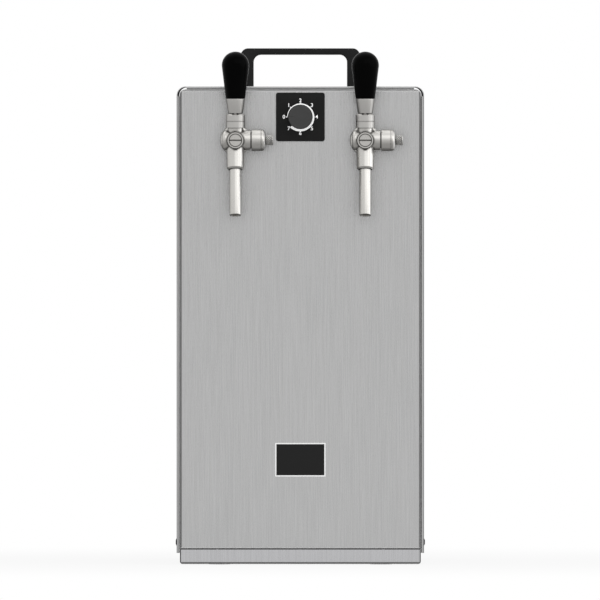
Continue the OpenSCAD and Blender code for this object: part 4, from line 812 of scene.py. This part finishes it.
# Studio: a plain paper floor in white surroundings. To the camera and in mirrors it nearly glows, so that
# only a soft shadow stays on it. Three soft lamps light the object from the right, the front and above,
# and a long lens looks at it from far in front.
floor_mesh = bpy.data.meshes.new("floor")
floor_mesh.from_pydata([(-5, -5, 0), (5, -5, 0), (5, 5, 0), (-5, 5, 0)], [], [(0, 1, 2, 3)])
floor = bpy.data.objects.new("floor", floor_mesh)
bpy.context.scene.collection.objects.link(floor)
floor_white = bpy.data.materials.new("floor_white")
floor_white.use_nodes = True
floor_white.node_tree.nodes.clear()
wire = Wire(floor_white.node_tree)
seen, mirrored, through = (wire.node("LightPath", out=k) for k in (0, 3, 6))
backdrop_ray = wire.maths("MAXIMUM", wire.maths("MAXIMUM", seen, mirrored), through)
floor_spot = wire.node("TexCoord", out=3)
from_object = wire.node("VectorMath", {"operation": "LENGTH"}, out=1, i0=floor_spot).rise(0.3, 1.1)
lit = wire.node("BsdfDiffuse", Color=(0.55, 0.55, 0.55, 1))
bright = wire.node("Emission", Color=(1, 1, 1, 1), Strength=1.0)
paper = wire.node("MixShader", i0=backdrop_ray * (0.88 + 0.12 * from_object), i1=lit, i2=bright)
floor_out = floor_white.node_tree.nodes.new("ShaderNodeOutputMaterial")
floor_white.node_tree.links.new(paper.socket, floor_out.inputs["Surface"])
floor_mesh.materials.append(floor_white)

world = bpy.data.worlds.new("studio")
bpy.context.scene.world = world
world.use_nodes = True
world.node_tree.nodes["Background"].inputs["Color"].default_value = (1, 1, 1, 1)

for name, place, aim, (lamp_wide, lamp_high), watts in (
        ("side", (2.56, -1.36, 1.10), (0, -0.2, 0.4), (2.5, 2.6), 16),
        ("key", (0.9, -2.4, 2.3), (0, -0.2, 0.4), (3.0, 2.2), 13),
        ("top", (-0.2, 0.7, 3.3), (0, 0, 0.3), (3.4, 3.0), 16)):
    lamp = bpy.data.lights.new(name, "AREA")
    lamp.shape, lamp.size, lamp.size_y, lamp.energy = "RECTANGLE", lamp_wide, lamp_high, watts
    holder = bpy.data.objects.new(name, lamp)
    bpy.context.scene.collection.objects.link(holder)
    back = Vector(place) - Vector(aim)
    holder.matrix_world = Matrix.Translation(place) @ back.to_track_quat("Z", "Y").to_matrix().to_4x4()

focal, sensor, view_wide, pitch = 1700.0, 36.0, 0.60702, math.radians(0.41)
view_x, view_y, view_z = -0.00035, -0.15, 0.2673
lens = bpy.data.cameras.new("camera")
lens.lens, lens.sensor_width, lens.clip_start, lens.clip_end = focal, sensor, 1.0, 60.0
camera = bpy.data.objects.new("camera", lens)
bpy.context.scene.collection.objects.link(camera)
stand_off = view_wide * focal / sensor
camera.location = view_x, view_y - stand_off * math.cos(pitch), view_z + stand_off * math.sin(pitch)
camera.rotation_euler = math.pi / 2 - pitch, 0, 0
bpy.context.scene.camera = camera
bpy.context.scene.view_settings.view_transform = "Standard"
